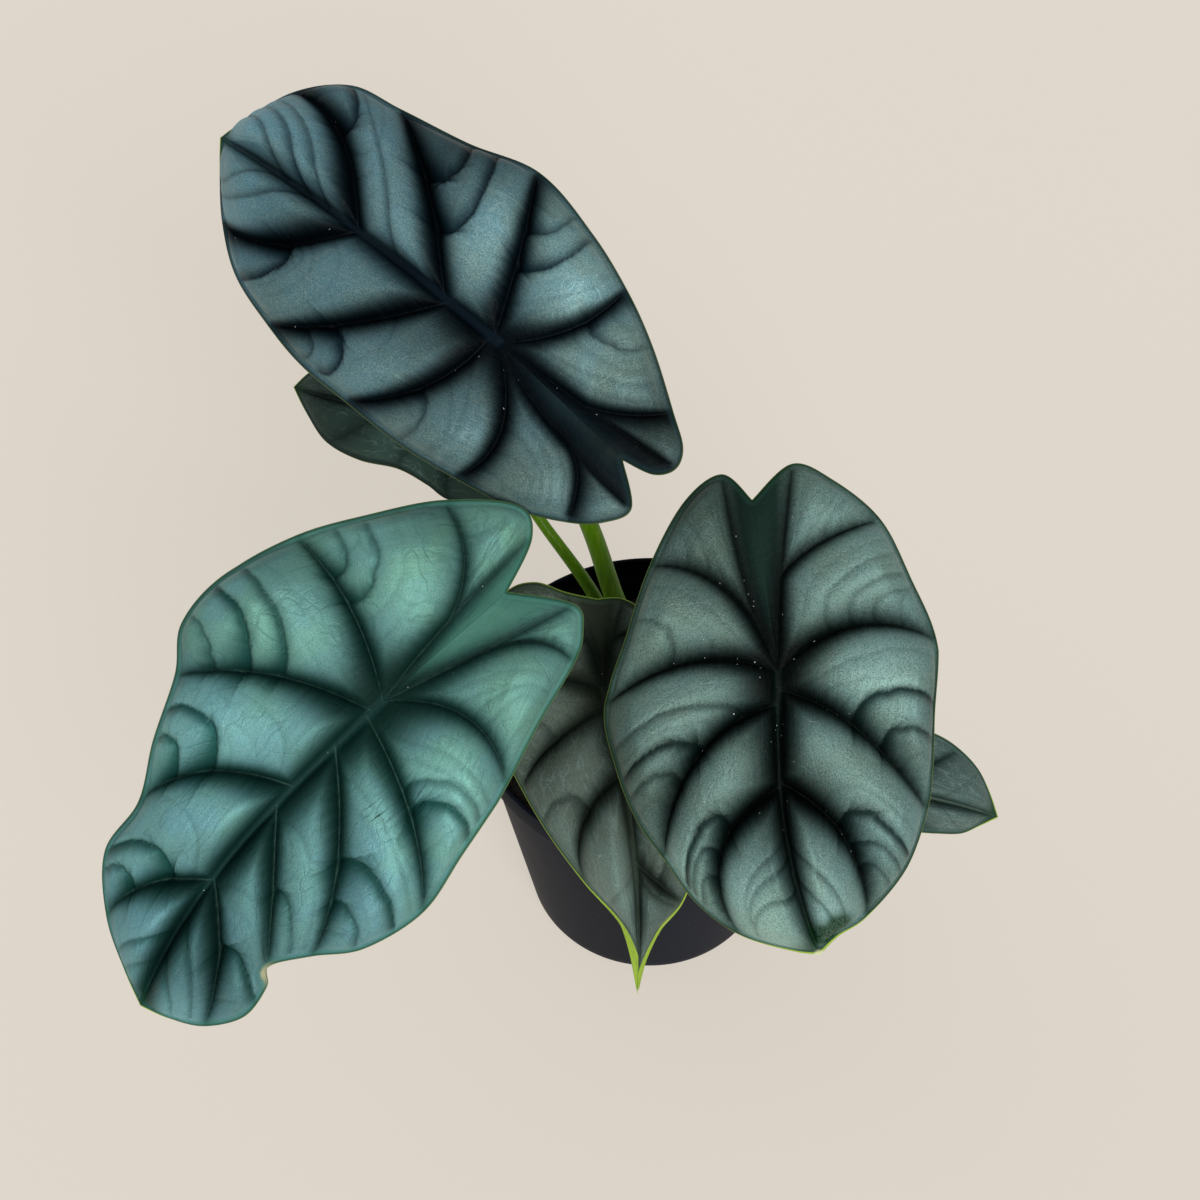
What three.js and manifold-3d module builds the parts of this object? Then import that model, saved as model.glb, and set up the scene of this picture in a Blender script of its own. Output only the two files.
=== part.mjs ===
// A potted silver dragon alocasia: six shield-shaped leaves on slender stalks,
// standing in the potting mix of a black nursery pot.
//
// Units are millimetres, +Z is up, and the origin is the centre of the pot's base.
// X runs to the right as the plant is seen from its front, and Y runs away behind it.
import * as THREE from 'three';
import { mergeVertices } from 'three/addons/utils/BufferGeometryUtils.js';
import Module from 'manifold-3d';

const wasm = await Module();
wasm.setup();

// Driving dimensions of the pot and its filling
const GAP = 0.3; // clearance between pieces that touch
const POT_HEIGHT = 106;
const RIM_RADIUS = 60;
const BASE_RADIUS = 43;
const POT_WALL = 1.6;
const FLOOR = 2.4;
const COLLAR_HEIGHT = 9; // the stepped band round the rim
const COLLAR_STEP = 2.6;
const POT_SIDES = 60;
const DRAIN_HOLES = 8;
const DRAIN_RADIUS = 4.5;
const DRAIN_RING = 29;
const SOIL_TOP = 91;
const SOIL_BUMP = 1.1;
const SOIL_SIDES = 36;
const SOIL_RINGS = 7;

// Driving dimensions of stalks and blades
const STALK_DEPTH = 14; // how far a stalk reaches into the mix
const STALK_SIDES = 10;
const STALK_RINGS = 13;
const BLADE_THICK = 1;
const MIDRIB_KEEL = 1.6; // how far the midrib stands out under the navel
const RIB_KEEL = 0.8;
const QUILT = 0.16; // height of the swollen panels against their width
const TAIL_SHARE = 0.35; // share of that height that is left at the margin

// Where each grid line runs between two ribs, and the rings along it
const PANEL_LINES = [0, 0.18, 0.5, 0.82];
const CORRIDOR_LINES = [0, 0.5];
const TIP_LINES = [0, 0.22, 0.5, 0.75, 0.92];
const RINGS = [0.08, 0.2, 0.35, 0.5, 0.65, 0.8, 0.93, 1];
const BRANCH_RING = 3; // the ring where the second rib leaves the basal rib

// Each blade lies in its own frame: u runs from the navel to the tip, v across it.
// heading, droop and roll turn that frame, in degrees, and archRadius and cupRadius
// bend it along and across. bow and hook carry the midrib sideways in a slow curve.
// A half is its margin from the sinus to the tip, as [u, v outwards], and its ribs. The
// basal rib leaves the navel and the branch leaves the basal rib halfway along; both
// are [u, v] of their own halfway point and the number of the margin point that they
// run to. A lateral has the u where it leaves the midrib in front of the same three.
const BLADES = {
  upper: {
    navel: [-46, 20.5, 249], heading: 142, droop: -12, roll: -30,
    archRadius: 330, cupRadius: 260, length: 120, bow: 1.5, hook: 0, sinus: [-48, 5],
    left: {
      margin: [[-58, 14], [-54, 22], [-46, 28], [-32, 34], [-13, 37.5], [8, 40], [27, 40.5],
        [45, 40.5], [62, 37.5], [82, 31.5], [98, 21], [112, 8]],
      basal: [-26, 9.5, 1], branch: [-39, 14, 3],
      laterals: [[0, -16, 19, 5], [3, 9, 22, 7], [19, 39, 22, 9], [56, 75, 17, 11]],
    },
    right: {
      margin: [[-57, -3], [-61, 2], [-59, 8], [-51, 14], [-35, 25], [-19, 33.5], [1, 41],
        [24, 45], [47, 39.5], [72, 36.5], [92, 34.5], [108, 23.5], [117, 7]],
      basal: [-31, 0.5, 2], branch: [-42, 6, 4],
      laterals: [[0, -14, 15, 6], [2, 11, 22, 8], [21, 44, 22, 10], [56, 80, 19, 12]],
    },
  },
  rear: {
    navel: [-61, 39.5, 195], heading: 154, droop: 12, roll: -40,
    archRadius: 200, cupRadius: 150, length: 74.5, bow: 0, hook: -2, sinus: [-25, 0],
    left: {
      margin: [[-34, 8], [-31, 16], [-24, 21], [-12, 23], [0, 23], [8, 20], [20, 17],
        [36, 17], [52, 14], [64, 7]],
      basal: [-17, 4, 1], branch: [-24, 12, 3],
      laterals: [[1, 1, 11, 5], [7, 16, 10, 7], [30, 41, 9, 9]],
    },
    right: {
      margin: [[-34, 8], [-31, 17], [-23, 23], [-10, 26], [4, 27], [18, 25], [32, 22],
        [46, 18], [58, 12], [68, 6]],
      basal: [-17, 4, 1], branch: [-24, 12, 3],
      laterals: [[1, 1, 13, 5], [7, 18, 13, 7], [30, 42, 10, 9]],
    },
  },
  left: {
    navel: [-77, -66, 198], heading: -139, droop: 27, roll: -30,
    archRadius: 300, cupRadius: 260, length: 116, bow: 3, hook: 7, sinus: [-45, 5],
    left: {
      margin: [[-55, 21], [-51, 28], [-43, 32], [-24, 36], [-5, 41], [17, 46], [37, 50],
        [56, 45], [68, 35], [79, 27], [84, 30], [96, 29], [107, 20], [113, 9]],
      basal: [-28, 11, 1], branch: [-40, 20, 3],
      laterals: [[0, -12, 20, 5], [6, 19, 29, 7], [18, 43, 24, 9], [41, 60, 15, 10], [69, 86, 14, 13]],
    },
    right: {
      margin: [[-61, 0], [-65, 9], [-52, 25], [-35, 37.5], [-17, 48.5], [4, 55.5], [22, 54],
        [34, 45], [52, 37], [68, 29.5], [86, 29.5], [101, 20], [110, 9]],
      basal: [-29, 1.5, 1], branch: [-44, 10, 3],
      laterals: [[0, -13, 24, 5], [4, 15, 26, 8], [34, 47, 20, 10], [70, 84, 14, 12]],
    },
  },
  right: {
    navel: [32, -52.5, 193], heading: -81, droop: 38, roll: 6,
    archRadius: 260, cupRadius: 170, length: 84, bow: 3.5, hook: 3, sinus: [-49, -1],
    left: {
      margin: [[-58, 11.5], [-52, 22.5], [-39, 34.5], [-21, 41], [-3, 46], [18, 45], [32, 44],
        [45, 41], [61, 32], [74, 17], [79, 7]],
      basal: [-26, 4, 1], branch: [-34, 16, 3],
      laterals: [[0, -8, 24, 5], [5, 20, 23, 8], [31, 50, 18, 10]],
    },
    right: {
      margin: [[-57.5, 8.5], [-51, 20], [-34, 32], [-15, 41], [4, 49], [22, 46], [38, 41],
        [50, 35], [64, 29], [75, 20], [82, 7]],
      basal: [-25, 6, 1], branch: [-31, 19, 3],
      laterals: [[0, -3, 25, 5], [9, 24, 23, 8], [32, 49, 17, 10]],
    },
  },
  front: {
    navel: [-16.5, -33.5, 158], heading: -81, droop: 42, roll: 6,
    archRadius: 400, cupRadius: 120, length: 98, bow: -3.2, hook: -1, sinus: [-27, 1],
    left: {
      margin: [[-26, 9], [-19, 17], [-8, 23], [6, 26], [22, 27], [38, 25], [54, 20],
        [69, 14], [77, 7], [88, 2]],
      basal: [-14, 4, 1], branch: [-15, 12, 3],
      laterals: [[1, 8, 14, 5], [20, 33, 14, 7], [54, 63, 8, 8]],
    },
    right: {
      margin: [[-30, 8], [-34, 17], [-32, 26], [-21, 34], [-6, 37], [10, 36], [28, 31],
        [43, 25], [59, 16], [73, 6], [86, 1]],
      basal: [-15, 3, 1], branch: [-22, 13, 3],
      laterals: [[0, -6, 18, 5], [5, 15, 19, 7], [26, 40, 14, 9]],
    },
  },
  low: {
    navel: [58.5, -45, 126], heading: -5, droop: 14, roll: 38,
    archRadius: 200, cupRadius: 150, length: 53, bow: 0, hook: -2, sinus: [-19, 0],
    left: {
      margin: [[-25, 7], [-21, 14], [-11, 19], [3, 21], [16, 20.5], [26, 19.5], [34, 17],
        [42, 12.5], [48, 6.5]],
      basal: [-12, 3, 1], branch: [-16, 9, 3],
      laterals: [[1, 5, 10, 5], [10, 23, 9, 7]],
    },
    right: {
      margin: [[-25, 7], [-21, 13], [-12, 17], [0, 18], [12, 15], [22, 12], [32, 10.5],
        [41, 8.5], [47, 4.5]],
      basal: [-12, 3, 1], branch: [-16, 9, 3],
      laterals: [[1, 5, 9, 5], [10, 22, 7, 7]],
    },
  },
};

// Each stalk: where it stands in the mix, the points that it leans through, its radius
// at the mix and its radius under the blade.
const STALKS = {
  upper: { foot: [2, 5], via: [[-13, 8.5, 148], [-21, 12, 180]], base: 4, top: 2.3 },
  rear: { foot: [-6, 7], via: [[-19, 12.5, 143], [-36.5, 24, 168.5]], base: 3, top: 1.4 },
  left: { foot: [-10.5, -2.5], via: [[-40, -12, 134], [-66, -33, 170]], base: 4, top: 2.3 },
  right: { foot: [8.5, -3.5], via: [[20, -10, 128], [32, -29, 162]], base: 4, top: 2.3 },
  front: { foot: [-2, -7.5], via: [[-6, -13, 116], [-12, -21, 138]], base: 3.4, top: 1.8 },
  low: { foot: [13.5, 5], via: [[27, -3, 113], [45, -22, 120]], base: 2.8, top: 1.5 },
};

const COLOURS = {
  pot: { color: 0x2e3036, roughness: 0.62, metalness: 0 },
  soil: { color: 0x1f1a15, roughness: 0.95, metalness: 0 },
  stalk: { color: 0x4f6f1c, roughness: 0.5, metalness: 0 },
  upper: { color: 0x4e7078, roughness: 0.42, metalness: 0 },
  rear: { color: 0x33453f, roughness: 0.5, metalness: 0 },
  left: { color: 0x6b978c, roughness: 0.4, metalness: 0 },
  right: { color: 0x5c7268, roughness: 0.42, metalness: 0 },
  front: { color: 0x46534a, roughness: 0.5, metalness: 0 },
  low: { color: 0x4f6462, roughness: 0.48, metalness: 0 },
};

const TURN = Math.PI * 2;
const radians = (degrees) => degrees * Math.PI / 180;
const mix = (a, b, f) => a + (b - a) * f;

// Meshes and booleans

function meshOf(points, faces) {
  const geometry = new THREE.BufferGeometry();
  geometry.setAttribute('position', new THREE.Float32BufferAttribute(points.flat(), 3));
  geometry.setIndex(faces.flat());
  return geometry;
}

function solidOf(geometry) {
  const bare = geometry.clone();
  bare.deleteAttribute('normal');
  bare.deleteAttribute('uv');
  const merged = mergeVertices(bare, 1e-4);
  return new wasm.Manifold(new wasm.Mesh({
    numProp: 3,
    vertProperties: new Float32Array(merged.attributes.position.array),
    triVerts: new Uint32Array(merged.index.array),
  }));
}

function geometryOf(solid) {
  const mesh = solid.getMesh();
  const geometry = new THREE.BufferGeometry();
  geometry.setAttribute('position', new THREE.BufferAttribute(mesh.vertProperties, 3));
  geometry.setIndex(new THREE.BufferAttribute(mesh.triVerts, 1));
  geometry.computeVertexNormals();
  return geometry;
}

// Rings of equal point count, joined by bands and closed by a fan at each end
function loft(rings) {
  const sides = rings[0].length;
  const points = rings.flat();
  const faces = [];
  for (let r = 0; r + 1 < rings.length; r += 1) {
    for (let s = 0; s < sides; s += 1) {
      const a = r * sides + s;
      const b = r * sides + (s + 1) % sides;
      faces.push([a, b, b + sides], [a, b + sides, a + sides]);
    }
  }
  const last = (rings.length - 1) * sides;
  const middle = (ring) => [0, 1, 2].map((k) => ring.reduce((sum, p) => sum + p[k], 0) / sides);
  const low = points.length;
  points.push(middle(rings[0]), middle(rings[rings.length - 1]));
  for (let s = 0; s < sides; s += 1) {
    const next = (s + 1) % sides;
    faces.push([low, next, s], [low + 1, last + s, last + next]);
  }
  return meshOf(points, faces);
}

function uprightCylinder(radius, from, to, x, y, sides) {
  const cylinder = new THREE.CylinderGeometry(radius, radius, to - from, sides);
  cylinder.rotateX(Math.PI / 2);
  cylinder.translate(x, y, (from + to) / 2);
  return cylinder;
}

// The pot: a tapered wall with a stepped collar, and a floor with drain holes

const COLLAR_FOOT = POT_HEIGHT - COLLAR_HEIGHT;
const WALL_TOP_RADIUS = RIM_RADIUS - COLLAR_STEP;

function wallRadius(z) {
  return mix(BASE_RADIUS, WALL_TOP_RADIUS, Math.min(z / COLLAR_FOOT, 1));
}

function potGeometry() {
  const foot = 1.5; // rounding of the base's edge
  const shoulder = 1.8; // slope of the step inside the collar
  const profile = [
    [0, 0],
    [BASE_RADIUS - foot, 0],
    [wallRadius(foot), foot],
    [WALL_TOP_RADIUS - 0.5, COLLAR_FOOT],
    [RIM_RADIUS - 0.8, COLLAR_FOOT],
    [RIM_RADIUS, COLLAR_FOOT + 0.8],
    [RIM_RADIUS, POT_HEIGHT - 0.8],
    [RIM_RADIUS - 0.8, POT_HEIGHT],
    [RIM_RADIUS - POT_WALL, POT_HEIGHT - 0.4],
    [RIM_RADIUS - POT_WALL, COLLAR_FOOT + shoulder],
    [WALL_TOP_RADIUS - POT_WALL, COLLAR_FOOT - 0.4],
    [wallRadius(FLOOR) - POT_WALL, FLOOR],
    [0, FLOOR],
  ];
  const lathe = new THREE.LatheGeometry(profile.map(([r, z]) => new THREE.Vector2(r, z)), POT_SIDES);
  lathe.rotateX(Math.PI / 2);
  let pot = solidOf(lathe);
  for (let k = 0; k < DRAIN_HOLES; k += 1) {
    const angle = TURN * (k + 0.5) / DRAIN_HOLES;
    const x = DRAIN_RING * Math.cos(angle);
    const y = DRAIN_RING * Math.sin(angle);
    pot = pot.subtract(solidOf(uprightCylinder(DRAIN_RADIUS, -1, FLOOR + 1, x, y, 12)));
  }
  return geometryOf(pot);
}

// The potting mix: a tapered plug whose top is lumpy, with a hole for each stalk

function soilHeight(x, y) {
  const lumps = Math.sin(x * 0.31 + 1.7) * Math.sin(y * 0.27 - 0.6)
    + 0.6 * Math.sin(x * 0.62 - y * 0.41) + 0.4 * Math.sin(y * 0.83 + x * 0.19 + 2);
  return SOIL_TOP + SOIL_BUMP * lumps;
}

function soilGeometry() {
  const inner = (z) => wallRadius(z) - POT_WALL - GAP - 0.1;
  const circle = (radius, height) => Array.from({ length: SOIL_SIDES }, (_, k) => {
    const x = radius * Math.cos(TURN * k / SOIL_SIDES);
    const y = radius * Math.sin(TURN * k / SOIL_SIDES);
    return [x, y, height(x, y)];
  });
  const floor = FLOOR + GAP;
  const edge = SOIL_TOP - 2.5 * SOIL_BUMP;
  const rings = [circle(inner(floor), () => floor), circle(inner(edge), () => edge)];
  for (let k = SOIL_RINGS; k > 0; k -= 1) {
    rings.push(circle((inner(edge) - 1.5) * k / SOIL_RINGS, soilHeight));
  }
  let soil = solidOf(loft(rings));
  for (const { foot: [x, y], base } of Object.values(STALKS)) {
    const hole = uprightCylinder(base + GAP, SOIL_TOP - STALK_DEPTH - GAP, POT_HEIGHT, x, y, 16);
    soil = soil.subtract(solidOf(hole));
  }
  return geometryOf(soil);
}

// The blades

function bladeFrame(blade) {
  const heading = radians(blade.heading);
  const droop = radians(blade.droop);
  const roll = radians(blade.roll);
  const along = new THREE.Vector3(
    Math.cos(droop) * Math.cos(heading), Math.cos(droop) * Math.sin(heading), -Math.sin(droop));
  const level = new THREE.Vector3(-Math.sin(heading), Math.cos(heading), 0);
  const lift = along.clone().cross(level);
  const across = level.clone().multiplyScalar(Math.cos(roll)).addScaledVector(lift, Math.sin(roll));
  return { along, across, up: along.clone().cross(across) };
}

// A point of the bent sheet at (u, v), moved by height along the sheet's own normal
function bladePoint(blade, frame, u, v, height) {
  const s = Math.min(Math.max(u / blade.length, 0), 1);
  const side = v + blade.hook * s ** 4 - blade.bow * Math.sin(Math.PI * s);
  const a = u / blade.archRadius;
  const slope = side / blade.cupRadius;
  const normal = new THREE.Vector3(Math.sin(a), slope * Math.cos(a), Math.cos(a)).normalize();
  const x = blade.archRadius * Math.sin(a) + normal.x * height;
  const y = side + normal.y * height;
  const z = blade.archRadius * (Math.cos(a) - 1) - side * slope / 2 + normal.z * height;
  const point = new THREE.Vector3(...blade.navel);
  point.addScaledVector(frame.along, x).addScaledVector(frame.across, y);
  return point.addScaledVector(frame.up, z).toArray();
}

// The margin through its points: a Catmull-Rom curve whose parameter counts the points
function marginAt(points, parameter) {
  const k = Math.min(Math.floor(parameter), points.length - 2);
  const f = parameter - k;
  const at = (i) => points[Math.min(Math.max(i, 0), points.length - 1)];
  return [0, 1].map((c) => {
    const [a, b, d, e] = [at(k - 1)[c], at(k)[c], at(k + 1)[c], at(k + 2)[c]];
    return b + 0.5 * f * (d - a + f * (2 * a - 5 * b + 4 * d - e + f * (3 * (b - d) + e - a)));
  });
}

// A curve through its start, its halfway point and its end
function ribAt([start, middle, end], t) {
  const weights = [(1 - t) * (1 - 2 * t), 4 * t * (1 - t), t * (2 * t - 1)];
  return [0, 1].map((c) => weights[0] * start[c] + weights[1] * middle[c] + weights[2] * end[c]);
}

// The lines that one half of a blade is woven from, each a row of [u, v, height, keel].
// They fan out from the sinus to the tip, several to each panel between two ribs.
function halfLines(blade, side) {
  const half = blade[side];
  const sign = side === 'left' ? 1 : -1;
  const sinus = [blade.sinus[0], sign * blade.sinus[1]];
  const tip = [blade.length, 0];
  const margin = [sinus, ...half.margin, tip];
  const rib = (from, [u, v, knot]) => [from, [u, v], margin[knot]];
  const basal = rib([0, 0], half.basal);
  const branch = rib(ribAt(basal, 0.5), half.branch);
  const onBranch = (t) => (t <= 0.5 ? ribAt(basal, t) : ribAt(branch, 2 * t - 1));
  const paths = [
    { at: (t) => [sinus[0] * t, sinus[1] * t], knot: 0, start: 0 },
    { at: (t) => ribAt(basal, t), knot: half.basal[2], start: 0 },
    { at: onBranch, knot: half.branch[2], start: 0 },
    ...half.laterals.map(([start, ...lateral]) => (
      { at: (t) => ribAt(rib([start, 0], lateral), t), knot: lateral[2], start })),
    { at: () => tip, knot: margin.length - 1, start: blade.length },
  ];
  const lines = [];
  for (let panel = 0; panel + 1 < paths.length; panel += 1) {
    const [from, to] = [paths[panel], paths[panel + 1]];
    const isCorridor = panel === 0;
    const isFork = panel === 1;
    const isTip = panel + 2 === paths.length;
    const shares = isCorridor ? CORRIDOR_LINES : isTip ? TIP_LINES : PANEL_LINES;
    for (const f of shares) {
      const edge = marginAt(margin, mix(from.knot, to.knot, f));
      const row = RINGS.map((t, ring) => {
        if (isFork && ring <= BRANCH_RING && f > 0) return null; // still the basal rib
        const [p, q] = [from.at(t), to.at(t)];
        const [pEnd, qEnd] = [from.at(1), to.at(1)];
        const pull = isFork ? (2 * t - 1) ** 2 : t * t;
        const [u, v] = [0, 1].map((c) => (
          mix(p[c], q[c], f) + pull * (edge[c] - mix(pEnd[c], qEnd[c], f))));
        const width = Math.hypot(p[0] - q[0], p[1] - q[1]);
        const fade = mix(1, TAIL_SHARE, THREE.MathUtils.smoothstep(t, 0.7, 1));
        const swell = isCorridor ? 0 : QUILT * width * (4 * f * (1 - f)) ** 0.55 * fade;
        const keel = f > 0 || panel === 0 ? 0 : RIB_KEEL * (1 - 0.6 * t);
        return [u, v, swell, keel];
      });
      lines.push({ row, start: mix(from.start, to.start, f), shared: panel === 0 && f === 0 });
    }
  }
  return { lines, sign };
}

// A blade: both halves share the midrib and the sinus line, and its top and its
// underside are split into triangles alike, so the sheet keeps its thickness.
function bladeGeometry(blade) {
  const frame = bladeFrame(blade);
  const top = [];
  const under = [];
  const faces = [];
  const rim = [];
  const add = (u, v, height, keel) => {
    top.push(bladePoint(blade, frame, u, v, height));
    under.push(bladePoint(blade, frame, u, v, height - BLADE_THICK - keel));
    return top.length - 1;
  };
  const halves = [halfLines(blade, 'left'), halfLines(blade, 'right')];
  const starts = halves.flatMap(({ lines }) => lines.map((line) => line.start));
  const stations = [0];
  for (const start of starts.sort((a, b) => a - b)) {
    const isClear = start - stations[stations.length - 1] > 2 && blade.length - start > 2;
    if (isClear) stations.push(start);
  }
  stations.push(blade.length);
  const midrib = stations.map((u) => add(u, 0, 0, MIDRIB_KEEL * (1 - 0.8 * u / blade.length)));
  const lastStation = stations.length - 1;
  const tip = midrib[lastStation];
  let sinusRow = null;
  for (const { lines, sign } of halves) {
    const outward = sign > 0;
    const face = (a, b, c) => {
      if (a === b || b === c || a === c) return;
      faces.push(outward ? [a, b, c] : [a, c, b]);
    };
    const rows = [];
    for (const line of lines) {
      const basal = rows[CORRIDOR_LINES.length];
      const row = line.shared && sinusRow ? sinusRow : line.row.map((cell, ring) => {
        if (cell === null) return basal[ring];
        return add(cell[0], sign * cell[1], cell[2], cell[3]);
      });
      if (line.shared) sinusRow = row;
      rows.push(row);
    }
    const last = RINGS.length - 1;
    for (let k = 0; k + 1 < rows.length; k += 1) {
      for (let ring = 0; ring < last; ring += 1) {
        const [a, b] = [rows[k][ring], rows[k][ring + 1]];
        const [d, c] = [rows[k + 1][ring], rows[k + 1][ring + 1]];
        face(a, c, b);
        face(a, d, c);
      }
    }
    const end = rows[rows.length - 1];
    for (let ring = 0; ring < last; ring += 1) face(end[ring], tip, end[ring + 1]);
    // the strip between the midrib and the first ring
    let station = 0;
    for (let k = 0; k < rows.length; k += 1) {
      const nextStart = k + 1 < rows.length ? lines[k + 1].start : Infinity;
      while (station < lastStation && mix(stations[station], stations[station + 1], 0.5) < nextStart) {
        face(midrib[station], midrib[station + 1], rows[k][0]);
        station += 1;
      }
      if (k + 1 < rows.length) face(midrib[station], rows[k + 1][0], rows[k][0]);
    }
    const edge = [...rows.map((row) => row[last]), tip];
    for (let k = 0; k + 1 < edge.length; k += 1) {
      const pair = [edge[k], edge[k + 1]];
      rim.push(outward ? pair : pair.reverse());
    }
  }
  const count = top.length;
  const below = faces.map(([a, b, c]) => [a + count, c + count, b + count]);
  const wall = rim.flatMap(([a, b]) => [[a, b, b + count], [a, b + count, a + count]]);
  return meshOf([...top, ...under], [...faces, ...below, ...wall]);
}

// A stalk: a tapering round stem that stands upright in the mix and bends under its
// blade until it meets the navel square on
function stalkGeometry(stalk, blade) {
  const frame = bladeFrame(blade);
  const [x, y] = stalk.foot;
  const navel = new THREE.Vector3(...blade.navel);
  const seat = BLADE_THICK + MIDRIB_KEEL + GAP;
  const end = navel.clone().addScaledVector(frame.up, -seat);
  const before = navel.clone().addScaledVector(frame.up, -seat - 9);
  const points = [
    new THREE.Vector3(x, y, SOIL_TOP - STALK_DEPTH),
    new THREE.Vector3(x, y, SOIL_TOP),
    new THREE.Vector3(x, y, SOIL_TOP + 8),
    ...stalk.via.map((p) => new THREE.Vector3(...p)),
    before,
    end,
  ];
  const path = new THREE.CatmullRomCurve3(points, false, 'centripetal');
  const stops = [0, STALK_DEPTH / path.getLength()];
  for (let k = 1; k < STALK_RINGS; k += 1) stops.push(mix(stops[1], 1, k / (STALK_RINGS - 1)));
  let side = new THREE.Vector3(1, 0, 0);
  const rings = stops.map((s, k) => {
    const centre = path.getPointAt(s);
    let tangent = path.getTangentAt(s);
    if (k < 2) tangent = new THREE.Vector3(0, 0, 1);
    if (k === stops.length - 1) tangent = frame.up.clone();
    side = side.clone().addScaledVector(tangent, -side.dot(tangent)).normalize();
    const other = tangent.clone().cross(side);
    const taper = Math.min(1, Math.max(0, s - stops[1]) * 1.15) ** 0.7;
    const radius = mix(stalk.base, stalk.top, taper);
    return Array.from({ length: STALK_SIDES }, (_, j) => {
      const angle = TURN * j / STALK_SIDES;
      return centre.clone().addScaledVector(side, radius * Math.cos(angle))
        .addScaledVector(other, radius * Math.sin(angle)).toArray();
    });
  });
  return loft(rings);
}

// The plant, piece by piece

const plant = new THREE.Group();

function addPiece(name, geometry, look) {
  const mesh = new THREE.Mesh(geometry, new THREE.MeshStandardMaterial(look));
  mesh.name = name;
  plant.add(mesh);
}

addPiece('pot', potGeometry(), COLOURS.pot);
addPiece('potting_mix', soilGeometry(), COLOURS.soil);
for (const [place, blade] of Object.entries(BLADES)) {
  addPiece(`stalk_${place}`, stalkGeometry(STALKS[place], blade), COLOURS.stalk);
  addPiece(`blade_${place}`, bladeGeometry(blade), COLOURS[place]);
}

export default plant;
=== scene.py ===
# %% [markdown]
# A silver dragon alocasia in a black nursery pot. Six quilted, shield-shaped leaves stand
# on thin stalks, and the camera looks down on them. Everything here is a surface worked
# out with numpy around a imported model, which gives each piece its size and place.

# %% Load the frame
import math

import bpy
import numpy as np
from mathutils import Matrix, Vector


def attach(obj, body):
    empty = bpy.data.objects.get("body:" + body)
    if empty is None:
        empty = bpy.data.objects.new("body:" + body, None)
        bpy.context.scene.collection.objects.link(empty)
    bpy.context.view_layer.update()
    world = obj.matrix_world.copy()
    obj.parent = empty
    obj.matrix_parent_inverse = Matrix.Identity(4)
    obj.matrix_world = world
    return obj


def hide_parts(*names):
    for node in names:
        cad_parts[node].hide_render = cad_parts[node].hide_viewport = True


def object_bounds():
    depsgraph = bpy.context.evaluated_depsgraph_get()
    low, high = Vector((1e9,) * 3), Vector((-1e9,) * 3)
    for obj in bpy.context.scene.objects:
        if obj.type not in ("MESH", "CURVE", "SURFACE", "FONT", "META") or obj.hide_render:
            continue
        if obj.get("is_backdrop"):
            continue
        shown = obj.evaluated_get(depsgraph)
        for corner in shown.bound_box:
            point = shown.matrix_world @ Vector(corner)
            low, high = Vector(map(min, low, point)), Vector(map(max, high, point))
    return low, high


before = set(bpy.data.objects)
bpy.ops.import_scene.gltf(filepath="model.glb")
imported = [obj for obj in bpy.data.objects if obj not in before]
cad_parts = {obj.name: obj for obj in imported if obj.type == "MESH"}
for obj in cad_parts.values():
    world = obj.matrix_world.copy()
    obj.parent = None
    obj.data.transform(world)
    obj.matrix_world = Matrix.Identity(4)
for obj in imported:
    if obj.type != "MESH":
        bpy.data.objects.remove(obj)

size_of_frame = [list(corner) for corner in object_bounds()]
MM = 0.001
rng = np.random.default_rng(7)
print("nodes in the frame:", len(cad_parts), "box:", size_of_frame)

# %% [markdown]
# The photograph looks down at 52 degrees with a long lens, so the pot shows as a short
# ellipse and the leaves spread out flat. The camera is placed from that angle, from the
# distance to the pot's rim and from how far the rim lies from the middle of the picture.

# %% Camera
LOOK_DOWN = math.radians(52)
LENS, SENSOR = 60, 36
RIM_HEIGHT = 106
RIM_DISTANCE = 659
RIM_RIGHT_OF_CENTRE = 17.793
RIM_BELOW_CENTRE = 32.291


def place_camera():
    """The camera backs off from the rim's centre along its own line of sight, then slides
    left and up in its own picture plane, so that the rim lands where it should."""
    sight = np.array([0, math.cos(LOOK_DOWN), -math.sin(LOOK_DOWN)])
    upright = np.array([0, math.sin(LOOK_DOWN), math.cos(LOOK_DOWN)])
    rim = np.array([0, 0, RIM_HEIGHT])
    place = rim - RIM_DISTANCE * sight + RIM_BELOW_CENTRE * upright
    place[0] -= RIM_RIGHT_OF_CENTRE
    data = bpy.data.cameras.new("camera")
    data.lens, data.sensor_width = LENS, SENSOR
    camera = bpy.data.objects.new("camera", data)
    camera.location = place * MM
    camera.rotation_euler = (math.pi / 2 - LOOK_DOWN, 0, 0)
    bpy.context.scene.collection.objects.link(camera)
    bpy.context.scene.camera = camera
    return camera


print("camera at", [round(x, 3) for x in place_camera().location])

# %% [markdown]
# The light is a broad soft window in front and a little to the right, low enough to leave
# the far walls of the panels dark, with pale light from all round. A sun with a wide disc
# gives that: it lights the floor evenly, and a leaf's valleys shade off slowly.

# %% Light and floor
FLOOR_COLOUR = (139.45, 133.72, 126.02)
FLOOR_PALER = (140.1, 134.33, 126.6)
FLOOR_GLOW = 2.02  # the floor is a lit sheet, which keeps the shadows on it thin
SKY_LIGHT, SKY_STRENGTH = (0.93, 0.97, 1.0), 0.46


def soft_sun(name, strength, width, azimuth, height, colour):
    """A distant light that comes from a compass angle and a height above the horizon."""
    data = bpy.data.lights.new(name, "SUN")
    data.energy, data.color, data.angle = strength, colour, math.radians(width)
    lamp = bpy.data.objects.new(name, data)
    lamp.rotation_euler = (0, math.radians(90 - height), math.radians(azimuth))
    bpy.context.scene.collection.objects.link(lamp)


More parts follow.
